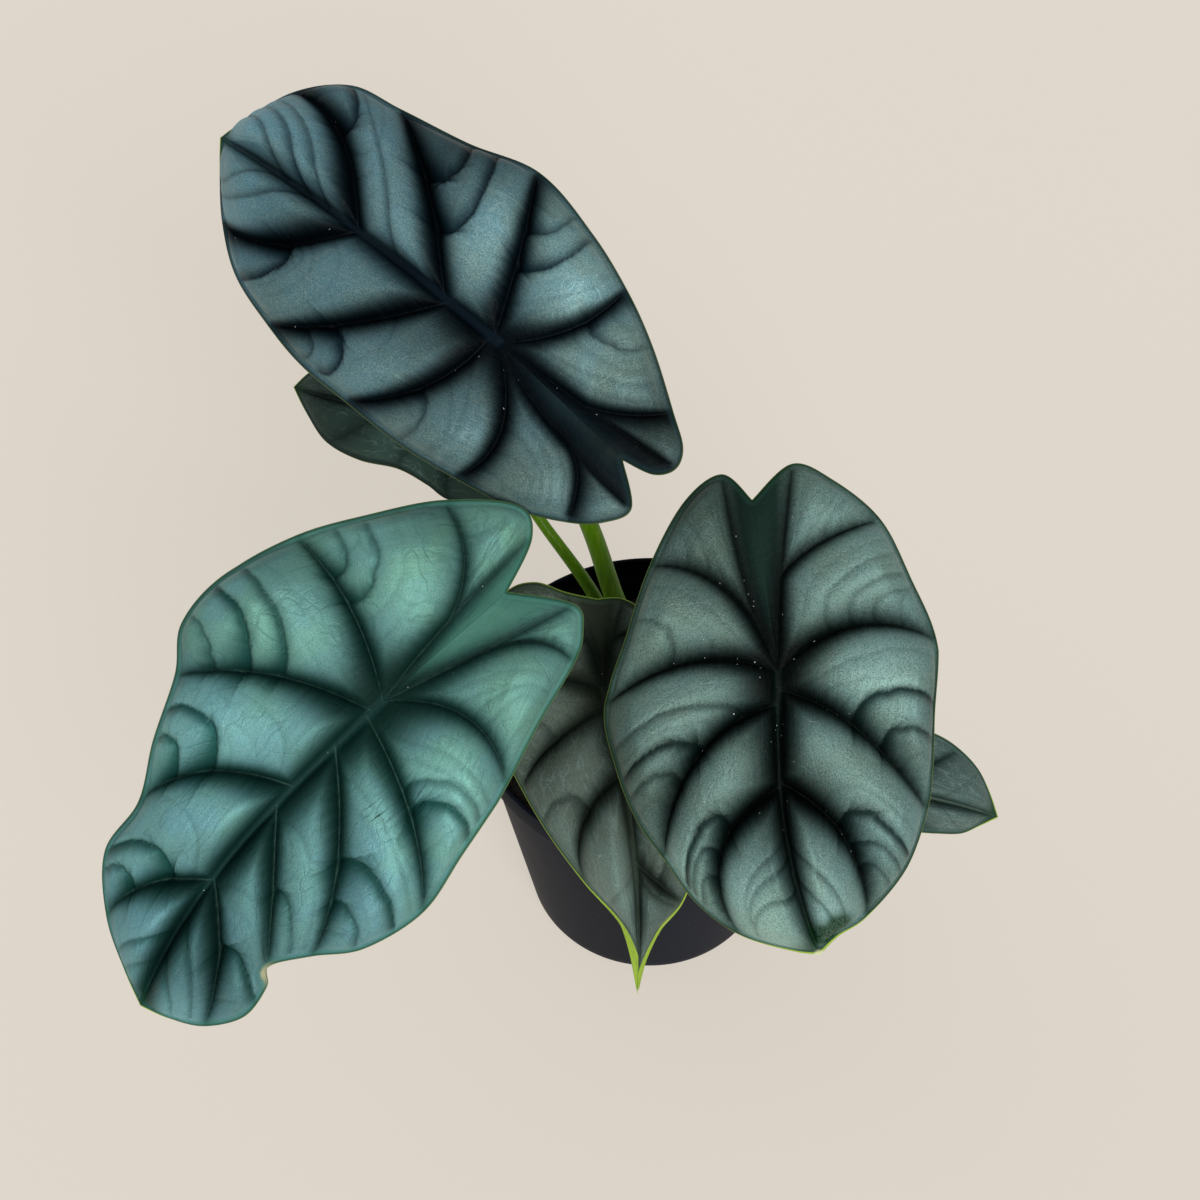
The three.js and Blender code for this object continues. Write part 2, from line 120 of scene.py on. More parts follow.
soft_sun("window", 2.1, 32, -73, 31, (1.0, 0.99, 0.97))
soft_sun("far_window", 0.25, 50, 150, 50, (0.97, 0.99, 1.0))
world = bpy.data.worlds.new("studio")
bpy.context.scene.world = world
world.use_nodes = True
sky = world.node_tree.nodes["Background"]
sky.inputs["Color"].default_value = (*SKY_LIGHT, 1)
sky.inputs["Strength"].default_value = SKY_STRENGTH
bpy.context.scene.view_settings.view_transform = "Standard"

# %% [markdown]
# Every piece below comes out of numpy as points and faces, so small helpers do what is
# common to them: fill a mesh from arrays, close a strip between two rows of points that need
# not have the same count, merge points that fall in one place, and lay grids and caps.

# %% Mesh helpers
LATTICE = 64  # random heights to a side, before the hills repeat


def mesh_from(name, points, face_sets, values=None, corner_uv=None):
    """Fills a mesh from arrays: points in millimetres, faces as arrays of corner indices,
    values as one number per point for the materials, corner_uv as one pair per corner."""
    mesh = bpy.data.meshes.new(name)
    face_sets = [faces for faces in face_sets if len(faces)]
    corners = np.concatenate([faces.ravel() for faces in face_sets]).astype(np.int32)
    sizes = np.concatenate([np.full(len(faces), faces.shape[1]) for faces in face_sets])
    starts = np.concatenate([[0], np.cumsum(sizes)[:-1]]).astype(np.int32)
    mesh.vertices.add(len(points))
    mesh.vertices.foreach_set("co", (points * MM).astype(np.float32).ravel())
    mesh.loops.add(len(corners))
    mesh.polygons.add(len(sizes))
    mesh.polygons.foreach_set("loop_start", starts)
    mesh.polygons.foreach_set("vertices", corners)
    mesh.polygons.foreach_set("use_smooth", np.ones(len(sizes), bool))
    for label, numbers in (values or {}).items():
        layer = mesh.attributes.new(label, "FLOAT", "POINT")
        layer.data.foreach_set("value", np.asarray(numbers, np.float32))
    if corner_uv is not None:
        mesh.uv_layers.new(name="weave").data.foreach_set("uv", corner_uv.astype(np.float32).ravel())
    mesh.update(calc_edges=True)
    mesh.validate()
    return mesh


def zip_rows(near, far, near_at, far_at):
    """Triangles between two rows of point numbers. Each row says how far along it its
    points lie; every edge is joined to the point of the other row that lies beside it."""
    near_mid = (near_at[1:] + near_at[:-1]) / 2
    far_mid = (far_at[1:] + far_at[:-1]) / 2
    beside_near = far[np.searchsorted(far_mid, near_mid, side="left")]
    beside_far = near[np.searchsorted(near_mid, far_mid, side="right")]
    return np.concatenate([
        np.stack([near[:-1], near[1:], beside_near], 1),
        np.stack([far[1:], far[:-1], beside_far], 1),
    ])


def same_places(flat_points):
    """Points that share a place to a ten thousandth of a millimetre become one: gives the
    first of each group, and for every point the number of its group."""
    keys = np.round(flat_points * 1e4).astype(np.int64)
    _, first, group = np.unique(keys, axis=0, return_index=True, return_inverse=True)
    return first, group.reshape(-1)


def grid_faces(rows, columns, wrap=False, offset=0):
    """Four-cornered faces of a grid of rows by columns, closed round when wrap is true."""
    r, c = np.meshgrid(np.arange(rows - 1), np.arange(columns - (not wrap)), indexing="ij")
    right = (c + 1) % columns
    corners = [r * columns + c, r * columns + right, (r + 1) * columns + right, (r + 1) * columns + c]
    return np.stack([corner.ravel() for corner in corners], 1) + offset


def cap(centre, ring):
    """Triangles from one point to each step of a closed ring, both as point numbers."""
    return np.stack([np.full(len(ring), centre), ring, np.roll(ring, -1)], 1)


def lifted(flat, height):
    """Flat points with a height, or one height for each, as a third number."""
    return np.concatenate([flat, np.broadcast_to(height, (*flat.shape[:-1], 1))], -1)


def circle_of(count):
    """Evenly spaced points of a circle of radius one."""
    angle = np.linspace(0, 2 * np.pi, count, endpoint=False)
    return np.stack([np.cos(angle), np.sin(angle)], 1)


def turns_about(axis, angle):
    """Turns by many angles about one axis: I + K sin + K^2 (1 - cos), where K times a place
    is the axis crossed with it. The last index counts the angles."""
    crossed = np.cross(np.eye(3), axis)
    return (np.eye(3)[..., None] + crossed[..., None] * np.sin(angle)
            + (crossed @ crossed)[..., None] * (1 - np.cos(angle)))


def wobble(x, y, seed):
    """Smooth hills from minus one to one, about one unit apart: random heights on a whole
    number lattice, blended with the ease curve 3f^2 - 2f^3 between its corners."""
    heights = np.random.default_rng(seed).uniform(-1, 1, (LATTICE, LATTICE))
    i, j = np.floor(x).astype(int), np.floor(y).astype(int)
    f, g = x - i, y - j
    f, g = f * f * (3 - 2 * f), g * g * (3 - 2 * g)
    corner = lambda a, b: heights[(i + a) % LATTICE, (j + b) % LATTICE]
    low = corner(0, 0) * (1 - f) + corner(1, 0) * f
    high = corner(0, 1) * (1 - f) + corner(1, 1) * f
    return low * (1 - g) + high * g


def ease(x, low, high):
    """Rises smoothly from nought at low to one at high."""
    s = np.clip((x - low) / (high - low), 0, 1)
    return s * s * (3 - 2 * s)


print("a tube of 3 rings of 8 points has", len(grid_faces(3, 8, wrap=True)), "faces")

# %% [markdown]
# A leaf of this plant is a bent shield. Its stalk meets it from below at the navel, a
# midrib runs from there to the tip, and on either side a few ribs run out to the margin.
# One way to make it would be to sculpt it, but a plan keeps every leaf editable: each leaf
# is a margin, a short list of ribs, and how its sheet is turned and bent. All numbers are
# millimetres and degrees. A rib is its halfway point and the margin point that it meets.

# %% The plan of each leaf
# Each plan's pale level and the spots after it are painted light and shade: they make a leaf's colour
# lighter where light falls on it and darker where it is shaded.
LEAVES = {
    "upper": dict(
        navel=(-46, 20.5, 249), heading=142, droop=-12, roll=-30, arch=330, cup=260,
        length=120, bow=1.5, hook=0, sinus=(-48, 5),
        tone=(0.48, 0.46, 0.05), band=1.7, pale=0.5, puff=1.05,
        painted_light_and_shade=[(-10, -13, 22, 0.56), (26, -11, 18, 0.48), (60, -12, 20, 0.28), (112, -9, 10, 0.25),
                    (10, -30, 12, 0.2), (44, -34, 22, -0.38), (100, -6, 20, 0.25), (92, 28, 12, 0.3),
                    (22, 33, 13, 0.12), (19, 10, 16, -0.2), (72, 11, 12, -0.14), (-50, -8, 13, -0.3)],
        rib_dark=(6.2, 1.6, 4.7, 5.4), rib_end=0.84, spine_end=0.4,
        left=dict(
            spine_dark=(10.2, 3.8),
            margin=[(-58, 14), (-54, 22), (-46, 28), (-32, 34), (-13, 37.5), (8, 40), (27, 40.5),
                    (45, 40.5), (62, 37.5), (82, 31.5), (98, 21), (112, 8)],
            basal=(-26, 9.5, 1), branch=(-39, 14, 3),
            laterals=[(0, -16, 19, 5), (3, 9, 22, 7), (19, 39, 22, 9), (56, 75, 17, 11)],
            side_veins=[(6, 0.42, 0.46, 0.9), (5, 0.6, 0.35, 0.85), (5, 0.76, 0.56, 0.5),
                        (4, 0.55, 0.5, 0.5)],
            rays=[(6.48, 6.38, 0.4), (6.28, 6.26, 0.5)]),
        right=dict(
            spine_dark=(3.3, 2.3),
            margin=[(-57, -3), (-61, 2), (-59, 8), (-51, 14), (-35, 25), (-19, 33.5), (1, 41),
                    (24, 45), (47, 39.5), (72, 36.5), (92, 34.5), (108, 23.5), (117, 7)],
            basal=(-31, 0.5, 2), branch=(-42, 6, 4),
            laterals=[(0, -14, 15, 6), (2, 11, 22, 8), (21, 43.5, 19.5, 10), (56, 80, 19, 12)],
            side_veins=[(5, 0.34, 0.28, 1.0), (5, 0.6, 0.46, 1.0), (4, 0.45, 0.42, 0.8),
                        (4, 0.66, 0.62, 0.6), (6, 0.54, 0.5, 0.95), (3, 0.62, 0.5, 0.5)],
            rays=[(5.53, 5.4, 0.45), (6.18, 6.18, 0.5), (6.31, 6.3, 0.6), (6.47, 6.48, 0.5)])),
    "rear": dict(
        navel=(-61, 39.5, 195), heading=154, droop=12, roll=-40, arch=200, cup=150,
        length=74.5, bow=0, hook=-2, sinus=(-25, 0),
        tone=(0.5, 0.0, 0.0), band=1.5, pale=0.44, puff=0.35,
        painted_light_and_shade=[(18, 12, 17, 0.5), (57, 4, 12, -0.15)],
        rib_dark=(5, 3, 5, 3), rib_end=0.6, spine_end=0.6,
        left=dict(
            spine_dark=(4, 2),
            margin=[(-34, 8), (-31, 16), (-24, 21), (-12, 23), (0, 23), (8, 20), (20, 17),
                    (36, 17), (52, 14), (64, 7)],
            basal=(-17, 4, 1), branch=(-24, 12, 3),
            laterals=[(1, 1, 11, 5), (7, 16, 10, 7), (30, 41, 9, 9)],
            side_veins=[(5, 0.4, 0.35, 0.7), (4, 0.45, 0.4, 0.6)], rays=[(5.4, 5.35, 0.5)]),
        right=dict(
            spine_dark=(4, 2),
            margin=[(-34, 8), (-31, 17), (-23, 23), (-10, 26), (4, 27), (18, 25), (32, 22),
                    (46, 18), (58, 12), (68, 6)],
            basal=(-17, 4, 1), branch=(-24, 12, 3),
            laterals=[(1, 1, 13, 5), (7, 18, 13, 7), (30, 42, 10, 9)],
            side_veins=[(5, 0.42, 0.4, 0.7), (4, 0.5, 0.4, 0.6)], rays=[(5.45, 5.4, 0.5)])),
    "left": dict(
        navel=(-77, -66, 198), heading=-139, droop=27, roll=-30, arch=300, cup=260,
        length=116, bow=3, hook=7, sinus=(-45, 5),
        tone=(0.5, 0.5, 0.15), band=1.7, pale=0.7, puff=1.05,
        painted_light_and_shade=[(38, -22, 21, 0.3), (22, 42, 15, 0.17), (8, 22, 15, 0.32), (-22, -14, 10, 0.12),
                    (110, 6, 12, 0.3), (32, -50, 12, -0.3), (90, 16, 14, -0.28), (-42, 12, 18, -0.12),
                    (82, -12, 13, 0.2), (-52, -26, 14, -0.25), (-10, -48, 10, -0.2)],
        rib_dark=(7.6, 2.7, 3.7, 4.2), rib_end=0.48, spine_end=0.88, nicks=[(81, 26.8, 1.3)],
        scars=[(12.8, 24.2), (22.8, 20.5)],
        left=dict(
            spine_dark=(10.5, 6.5),
            margin=[(-55, 21), (-51, 28), (-43, 32), (-24, 36), (-5, 41), (17, 46), (37, 50),
                    (56, 45), (68, 35), (79, 27), (84, 30), (96, 29), (107, 20), (113, 9)],
            basal=(-28, 11, 1), branch=(-40, 20, 3),
            laterals=[(0, -12, 20, 5), (6, 19, 29, 7), (18, 43, 24, 9), (41, 60, 15, 10),
                      (69, 86, 14, 13)],
            side_veins=[(5, 0.47, 0.28, 1.0), (4, 0.47, 0.42, 0.9), (4, 0.36, 0.3, 0.5),
                        (5, 0.67, 0.6, 0.65), (7, 0.44, 0.54, 0.95), (6, 0.5, 0.5, 0.6)],
            rays=[(7.25, 7.2, 0.6), (7.5, 7.45, 0.5)]),
        right=dict(
            spine_dark=(5.0, 3.8),
            margin=[(-61, 0), (-65, 9), (-52, 25), (-35, 37.5), (-17, 48.5), (4, 55.5), (22, 54),
                    (34, 45), (52, 37), (68, 29.5), (86, 29.5), (101, 20), (110, 9)],
            basal=(-29, 1.5, 1), branch=(-44, 10, 3),
            laterals=[(0, -13, 24, 5), (4, 15, 26, 8), (34, 47, 20, 10), (70, 84, 14, 12)],
            side_veins=[(4, 0.62, 0.42, 1.0), (4, 0.45, 0.26, 0.75), (4, 0.8, 0.62, 0.55),
                        (3, 0.52, 0.55, 0.6), (3, 0.68, 0.75, 0.6), (5, 0.48, 0.26, 1.0),
                        (5, 0.72, 0.48, 0.8), (6, 0.3, 0.5, 1.0), (6, 0.62, 0.66, 0.7)],
            rays=[(6.38, 6.36, 0.6), (6.6, 6.55, 0.4)])),
    "right": dict(
        navel=(32, -52.5, 193), heading=-81, droop=38, roll=6, arch=260, cup=170,
        length=84, bow=3.5, hook=3, sinus=(-49, -1),
        tone=(0.32, 0.25, 0.35), band=1.8, pale=0.52, puff=1.08,
        painted_light_and_shade=[(70, -5, 15, 0.6), (54, -27, 12, 0.32), (8, 27, 13, 0.36), (-34, 26, 12, 0.1),
                    (-50, -12, 22, -0.3), (17, -47, 15, -0.28), (34, -32, 11, -0.2), (-22, -20, 16, -0.1),
                    (31, 3, 12, -0.26), (15, 47, 14, -0.32), (10, 0, 9, 0.14)],
        green_spots=[(74, 5), (77, 3), (72, 8)],
        rib_dark=(5.4, 2.6, 5.6, 5.2), rib_end=0.46, spine_end=0.5,
        left=dict(
            spine_dark=(8.6, 2.2),
            margin=[(-58, 11.5), (-52, 22.5), (-39, 34.5), (-21, 41), (-3, 46), (18, 45), (32, 44),
                    (45, 41), (61, 32), (74, 17), (79, 7)],
            basal=(-26, 4, 1), branch=(-34, 16, 3),
            laterals=[(0, -10, 22.5, 5), (5, 19, 22.5, 8), (31, 49, 16, 10)],
            side_veins=[(5, 0.42, 0.42, 0.95), (5, 0.58, 0.58, 0.6), (5, 0.7, 0.72, 0.5),
                        (4, 0.45, 0.3, 0.95), (4, 0.64, 0.54, 0.7), (3, 0.36, 0.3, 0.26),
                        (3, 0.5, 0.46, 0.32), (3, 0.64, 0.6, 0.3)],
            rays=[(5.32, 5.4, 0.4), (5.5, 5.6, 0.45)]),
        right=dict(
            spine_dark=(10.5, 6.4),
            margin=[(-57.5, 8.5), (-51, 20), (-34, 32), (-15, 41), (4, 49), (22, 46), (38, 41),
                    (50, 35), (64, 29), (75, 20), (82, 7)],
            basal=(-25, 6, 1), branch=(-27, 14.5, 3), fork=0.2,
            laterals=[(0, -5.5, 24, 5), (9, 20.5, 22, 8), (32, 48.5, 18.5, 10)],
            side_veins=[(3, 0.6, 0.42, 0.4), (4, 0.5, 0.43, 0.95), (4, 0.2, 0.26, 0.5),
                        (4, 0.66, 0.56, 0.55), (5, 0.35, 0.41, 0.95), (5, 0.53, 0.52, 0.6),
                        (5, 0.68, 0.66, 0.5)],
            rays=[(5.26, 5.24, 0.3), (5.37, 5.25, 0.4), (5.57, 5.24, 0.5)])),
    "front": dict(
        navel=(-16.5, -33.5, 158), heading=-81, droop=42, roll=6, arch=400, cup=120,
        length=98, bow=-3.2, hook=-1, sinus=(-27, 1),
        tone=(0.2, 0.8, 0.0), band=1.6, pale=0.78, puff=0.95,
        painted_light_and_shade=[(56, -6, 14, 0.2), (19, -23, 20, -0.28), (74, 8, 14, -0.26), (6, -7, 9, 0.3),
                    (35, -5, 9, 0.12)],
        rib_dark=(4.6, 3.4, 4.4, 2.2), rib_end=0.5, spine_end=0.35, nicks=[(72.5, 7.5, 0.9)],
        left=dict(
            spine_dark=(5.5, 1.2),
            margin=[(-26, 9), (-19, 17), (-8, 23), (6, 26), (22, 27), (38, 25), (54, 20),
                    (69, 14), (77, 7), (88, 2)],
            basal=(-14, 4, 1), branch=(-15, 12, 3),
            laterals=[(1, 8, 14, 5), (20, 33, 14, 7), (54, 63, 8, 8)],
            side_veins=[(4, 0.45, 0.4, 0.7), (5, 0.4, 0.4, 0.7)], rays=[(5.1, 5.06, 0.5)]),
        right=dict(
            spine_dark=(5.5, 1.2),
            margin=[(-30, 8), (-34, 17), (-32, 26), (-21, 34), (-6, 37), (10, 36), (28, 31),
                    (43, 25), (59, 16), (73, 6), (86, 1)],
            basal=(-15, 3, 1), branch=(-22, 13, 3),
            laterals=[(0, -6, 18, 5), (5, 15, 19, 7), (26, 40, 14, 9)],
            side_veins=[(5, 0.38, 0.4, 0.8), (4, 0.45, 0.4, 0.5)], rays=[(5.4, 5.35, 0.3)])),
    "low": dict(
        navel=(58.5, -45, 126), heading=-5, droop=14, roll=38, arch=200, cup=150,
        length=53, bow=0, hook=-2, sinus=(-19, 0),
        tone=(0.5, 0.0, 0.0), band=1.5, pale=0.76, puff=0.7,
        painted_light_and_shade=[(36, -4, 9, 0.1)], rib_dark=(4, 2.5, 4, 2.5), rib_end=0.6, spine_end=0.6,
        left=dict(
            spine_dark=(3, 1.5),
            margin=[(-25, 7), (-21, 14), (-11, 19), (3, 21), (16, 20.5), (26, 19.5), (34, 17),
                    (42, 12.5), (48, 6.5)],
            basal=(-12, 3, 1), branch=(-16, 9, 3),
            laterals=[(1, 5, 10, 5), (10, 23, 9, 7)],
            side_veins=[(4, 0.45, 0.4, 0.6)], rays=[(4.4, 4.35, 0.5)]),
        right=dict(
            spine_dark=(3, 1.5),
            margin=[(-25, 7), (-21, 13), (-12, 17), (0, 18), (12, 15), (22, 12), (32, 10.5),
                    (41, 8.5), (47, 4.5)],
            basal=(-12, 3, 1), branch=(-16, 9, 3),
            laterals=[(1, 5, 9, 5), (10, 22, 7, 7)],
            side_veins=[(4, 0.45, 0.4, 0.6)], rays=[(4.4, 4.35, 0.5)])),
}
print("leaves:", ", ".join(LEAVES))

# %% [markdown]
# The plan is flat: u runs from the navel to the tip and v across. To stand in the pot a
# leaf is bent over two large radii, along and across, and turned by a heading, a droop and
# a roll. Height is measured along the bent sheet's own normal, so the relief never tears.

# %% Bend a flat plan into its place
def axes_of(leaf):
    """The leaf's own directions: along is turned by heading and tipped down by droop,
    across is level until roll turns it about along, and up is square to both."""
    heading, droop, roll = np.radians([leaf["heading"], leaf["droop"], leaf["roll"]])
    along = np.array([np.cos(droop) * np.cos(heading), np.cos(droop) * np.sin(heading), -np.sin(droop)])
    level = np.array([-np.sin(heading), np.cos(heading), 0.0])
    across = level * np.cos(roll) + np.cross(along, level) * np.sin(roll)
    return along, across, np.cross(along, across)


def bend(leaf, u, v, height):
    """Along the midrib the sheet follows a circle of radius arch, and across it falls away
    as v squared over twice cup. The midrib itself swings by bow times sin(pi s) less hook
    times s^4, where s is the share of the way to the tip."""
    s = np.clip(u / leaf["length"], 0, 1)
    side = v + leaf["hook"] * s ** 4 - leaf["bow"] * np.sin(np.pi * s)
    a = u / leaf["arch"]
    slope = side / leaf["cup"]
    long = np.sqrt(1 + (slope * np.cos(a)) ** 2)
    x = leaf["arch"] * np.sin(a) + height * np.sin(a) / long
    y = side + height * slope * np.cos(a) / long
    z = leaf["arch"] * (np.cos(a) - 1) - side * slope / 2 + height * np.cos(a) / long
    along, across, up = axes_of(leaf)
    return np.array(leaf["navel"], float) + x[..., None] * along + y[..., None] * across + z[..., None] * up


for name, leaf in LEAVES.items():
    print(name, "leaf: its face points towards", np.round(axes_of(leaf)[2], 2))

# %% [markdown]
# The net of ribs is the leaf's skeleton, and its skin is woven to it. Each half is a fan of
# threads: q counts the ribs from the sinus to the tip, with threads in between, and t runs
# from the midrib out to the margin. So a rib is always a thread, and its crease stays crisp.

# %% Curves of the skeleton
FULL_LENGTH = 110  # from the navel to the tip; the relief of a shorter leaf is finer


def through(points, k):
    """A Catmull-Rom curve through the points; k counts them, so k = 2.5 lies halfway
    between the third and the fourth."""
    i = np.clip(np.floor(k).astype(int), 0, len(points) - 2)
    f = (k - i)[..., None]
    a, b, c, d = [points[np.clip(i + step, 0, len(points) - 1)] for step in (-1, 0, 1, 2)]
    return b + 0.5 * f * (c - a + f * (2 * a - 5 * b + 4 * c - d + f * (3 * (b - c) + d - a)))


def rib(start, middle, end, t):
    """The parabola that is at start, middle and end when t is 0, 1/2 and 1."""
    t = np.asarray(t, float)[..., None]
    return ((1 - t) * (1 - 2 * t) * np.array(start, float) + 4 * t * (1 - t) * np.array(middle, float)
            + t * (2 * t - 1) * np.array(end, float))


def half_plan(leaf, side):
    """One half of a leaf: its margin from the sinus to the tip, the margin point that each
    rib runs to, and where on the midrib each rib starts."""
    half = leaf[side]
    sign = 1 if side == "left" else -1
    sinus = (leaf["sinus"][0], sign * leaf["sinus"][1])
    margin = np.array([sinus, *half["margin"], (leaf["length"], 0)], float)
    ends = [0, half["basal"][2], half["branch"][2], *[k for *_, k in half["laterals"]], len(margin) - 1]
    starts = [0, 0, 0, *[u for u, *_ in half["laterals"]], leaf["length"]]
    return dict(leaf=leaf, half=half, sign=sign, margin=margin, ends=np.array(ends),
                starts=np.array(starts, float), last=len(ends) - 1, fork=half.get("fork", 0.5),
                size=min(1, leaf["length"] / FULL_LENGTH))


def rib_paths(plan, t):
    """Every rib of a half at every t. The branch shares the basal rib up to the fork."""
    half, end, fork = plan["half"], plan["margin"][plan["ends"]], plan["fork"]
    t = np.asarray(t, float)
    basal = rib((0, 0), half["basal"][:2], end[1], t)
    parting = rib((0, 0), half["basal"][:2], end[1], fork)
    branch = rib(parting, half["branch"][:2], end[2], (t - fork) / (1 - fork))
    branch = np.where(t[:, None] <= fork, basal, branch)
    laterals = [rib((u0, 0), (u, v), end[3 + k], t) for k, (u0, u, v, _) in enumerate(half["laterals"])]
    tip = np.broadcast_to(end[-1], basal.shape)
    return np.array([t[:, None] * end[0], basal, branch, *laterals, tip])


def weave(plan, q, t):
    """Threads q at rings t: a mix of the two ribs beside the thread, drawn out towards the
    margin's own curve as t squared. Also gives how far apart those two ribs are."""
    paths, ends = rib_paths(plan, t), plan["margin"][plan["ends"]]
    i = np.clip(np.floor(q).astype(int), 0, plan["last"] - 1)
    f = q - i
    share = f[:, None]
    edge = through(plan["margin"], plan["ends"][i] * (1 - f) + plan["ends"][i + 1] * f)
    miss = edge - ends[i] * (1 - share) - ends[i + 1] * share
    past_fork = np.maximum(t - plan["fork"], 0) / (1 - plan["fork"])
    pull = np.where((i == 1)[:, None], past_fork, t) ** 2
    p, r = paths[i], paths[i + 1]
    flat = p * (1 - share[..., None]) + r * share[..., None] + pull[..., None] * miss[:, None]
    return flat, np.linalg.norm(p - r, axis=-1)


HALVES = {(name, side): half_plan(leaf, side) for name, leaf in LEAVES.items() for side in ("left", "right")}
print("ribs to each half:", {f"{name} {side}": plan["last"] - 1 for (name, side), plan in HALVES.items()})

# %% [markdown]
# A fan has too many threads near the navel and too few at the margin. So t is cut into
# zones, each with its own number of threads, and a zipped strip joins one zone to the next.
# Inside a zone the threads crowd towards the ribs, where the surface turns sharply.

# %% The skin of one half
ZONES = (0, 0.09, 0.2, 0.34, 0.5, 0.64, 0.82, 1)
CROWD = 0.45  # how strongly threads draw in towards the ribs
FORK_AT = 1.5  # where the joined basal rib and branch count as lying


def threads_of_zone(plan, high, cell):
    """The q of each thread in a zone whose outer ring is high: as many to a panel as that
    ring's length there holds cells, none in the fork before it opens."""
    share = np.linspace(0, 1, 25)
    found = []
    for i in range(plan["last"]):
        if i == 1 and high <= plan["fork"]:
            continue
        ring = weave(plan, i + np.minimum(share, 0.999), np.array([high]))[0][:, 0]
        length = np.linalg.norm(np.diff(ring, axis=0), axis=1).sum()
        x = np.arange(max(2, math.ceil(length / cell)))
        x = x / len(x)
        found.append(i + x - CROWD * np.sin(2 * np.pi * x) / (2 * np.pi))
    return np.concatenate([*found, [plan["last"]]])


def half_skin(plan, cell):
    """Rings of points from the midrib outwards with triangles between them. Gives the flat
    place, q, t and panel width of each point, the triangles, and the margin's row."""
    starts, last = plan["starts"], plan["last"]
    hub = np.flatnonzero(starts == 0)[-1]
    u = np.linspace(0, starts[-1], math.ceil(starts[-1] / cell) + 1)
    q0 = np.interp(u, starts[hub:], np.arange(hub, last + 1))
    flat, q_all, t_all, wide = [np.stack([u, 0 * u], 1)], [q0], [0 * u], [0 * u]
    rows, count = [(np.arange(len(u)), q0)], len(u)
    spokes = rib_paths(plan, np.array([0, 1.0]))[1:-1]
    reach = np.linalg.norm(spokes[:, 1] - spokes[:, 0], axis=1).max()
    for low, high in zip(ZONES[:-1], ZONES[1:]):
        q = threads_of_zone(plan, high, cell)
        rings = math.ceil((high - low) * reach / cell)
        t = low + (high - low) * (np.arange(rings) + 1) / rings
        points, width = weave(plan, q, t)
        at = np.where((q == 2) & (high <= plan["fork"]), FORK_AT, q)
        numbers = count + np.arange(len(q) * rings).reshape(len(q), rings)
        rows += [(numbers[:, k], at) for k in range(rings)]
        count += numbers.size
        flat.append(points.reshape(-1, 2))
        q_all.append(np.repeat(q, rings))
        t_all.append(np.tile(t, len(q)))
        wide.append(width.ravel())
    faces = [zip_rows(a, b, a_at, b_at) for (a, a_at), (b, b_at) in zip(rows[:-1], rows[1:])]
    return (np.concatenate(flat), np.concatenate(q_all), np.concatenate(t_all),
            np.concatenate(wide), np.concatenate(faces), rows[-1])


print("half of the low leaf in 1 mm cells:", len(half_skin(HALVES["low", "left"], 1.0)[0]), "points")

# %% [markdown]
# Between the ribs run finer side veins. On the real leaf each one leaves a rib square on,
# on the side away from the tip, then turns and runs out beside the rib to the margin: a
# quarter of an ellipse in q and t. The strong ones are listed in the plan, faint ones fill
# the room between, and near the tip a few rays leave the midrib itself.

# %% Veins as short straight pieces
VEIN_STEPS = 9
FAINT_FROM, FAINT_TO, FAINT_STEP = 0.1, 0.88, 0.14
AT_ONCE = 3000  # points measured at once, so that the tables stay small
VEIN_END = 0.94  # where the veins stop, short of the margin and the tip
SHADE_TAPER = 1.6  # how fast the width of a rib's dark shade falls on the way out
VEIN_WANDER = 0.25  # how far a vein strays from its curve
FAINT_ROOM = 0.06  # a faint vein keeps this far from a listed one
LEAST_SHADE = 0.7  # width of the shade beside the faintest vein
INNER_SHADE, OUTER_SHADE, RAY_SHADE = 5.6, 1.5, 2.6  # what a vein of full strength adds to that
BASE_SHADE = (0.6, 0.5)  # width of a side vein's shade on its other side, where it starts and ends


def side_vein(rib_number, leaves_at, reaches, steps=VEIN_STEPS):
    """q falls from the rib by sin, t rises from leaves_at by 1 - cos, over a quarter turn."""
    turn = np.linspace(0, np.pi / 2, steps + 1)
    q = rib_number - (1 - reaches) * np.sin(turn)
    t = leaves_at + (VEIN_END - leaves_at) * (1 - np.cos(turn))
    return q, t


def place_of(plan, q, t):
    """The flat place of single points, each with its own q and t."""
    return np.array([weave(plan, np.array([a]), np.array([b]))[0][0, 0] for a, b in zip(q, t)])


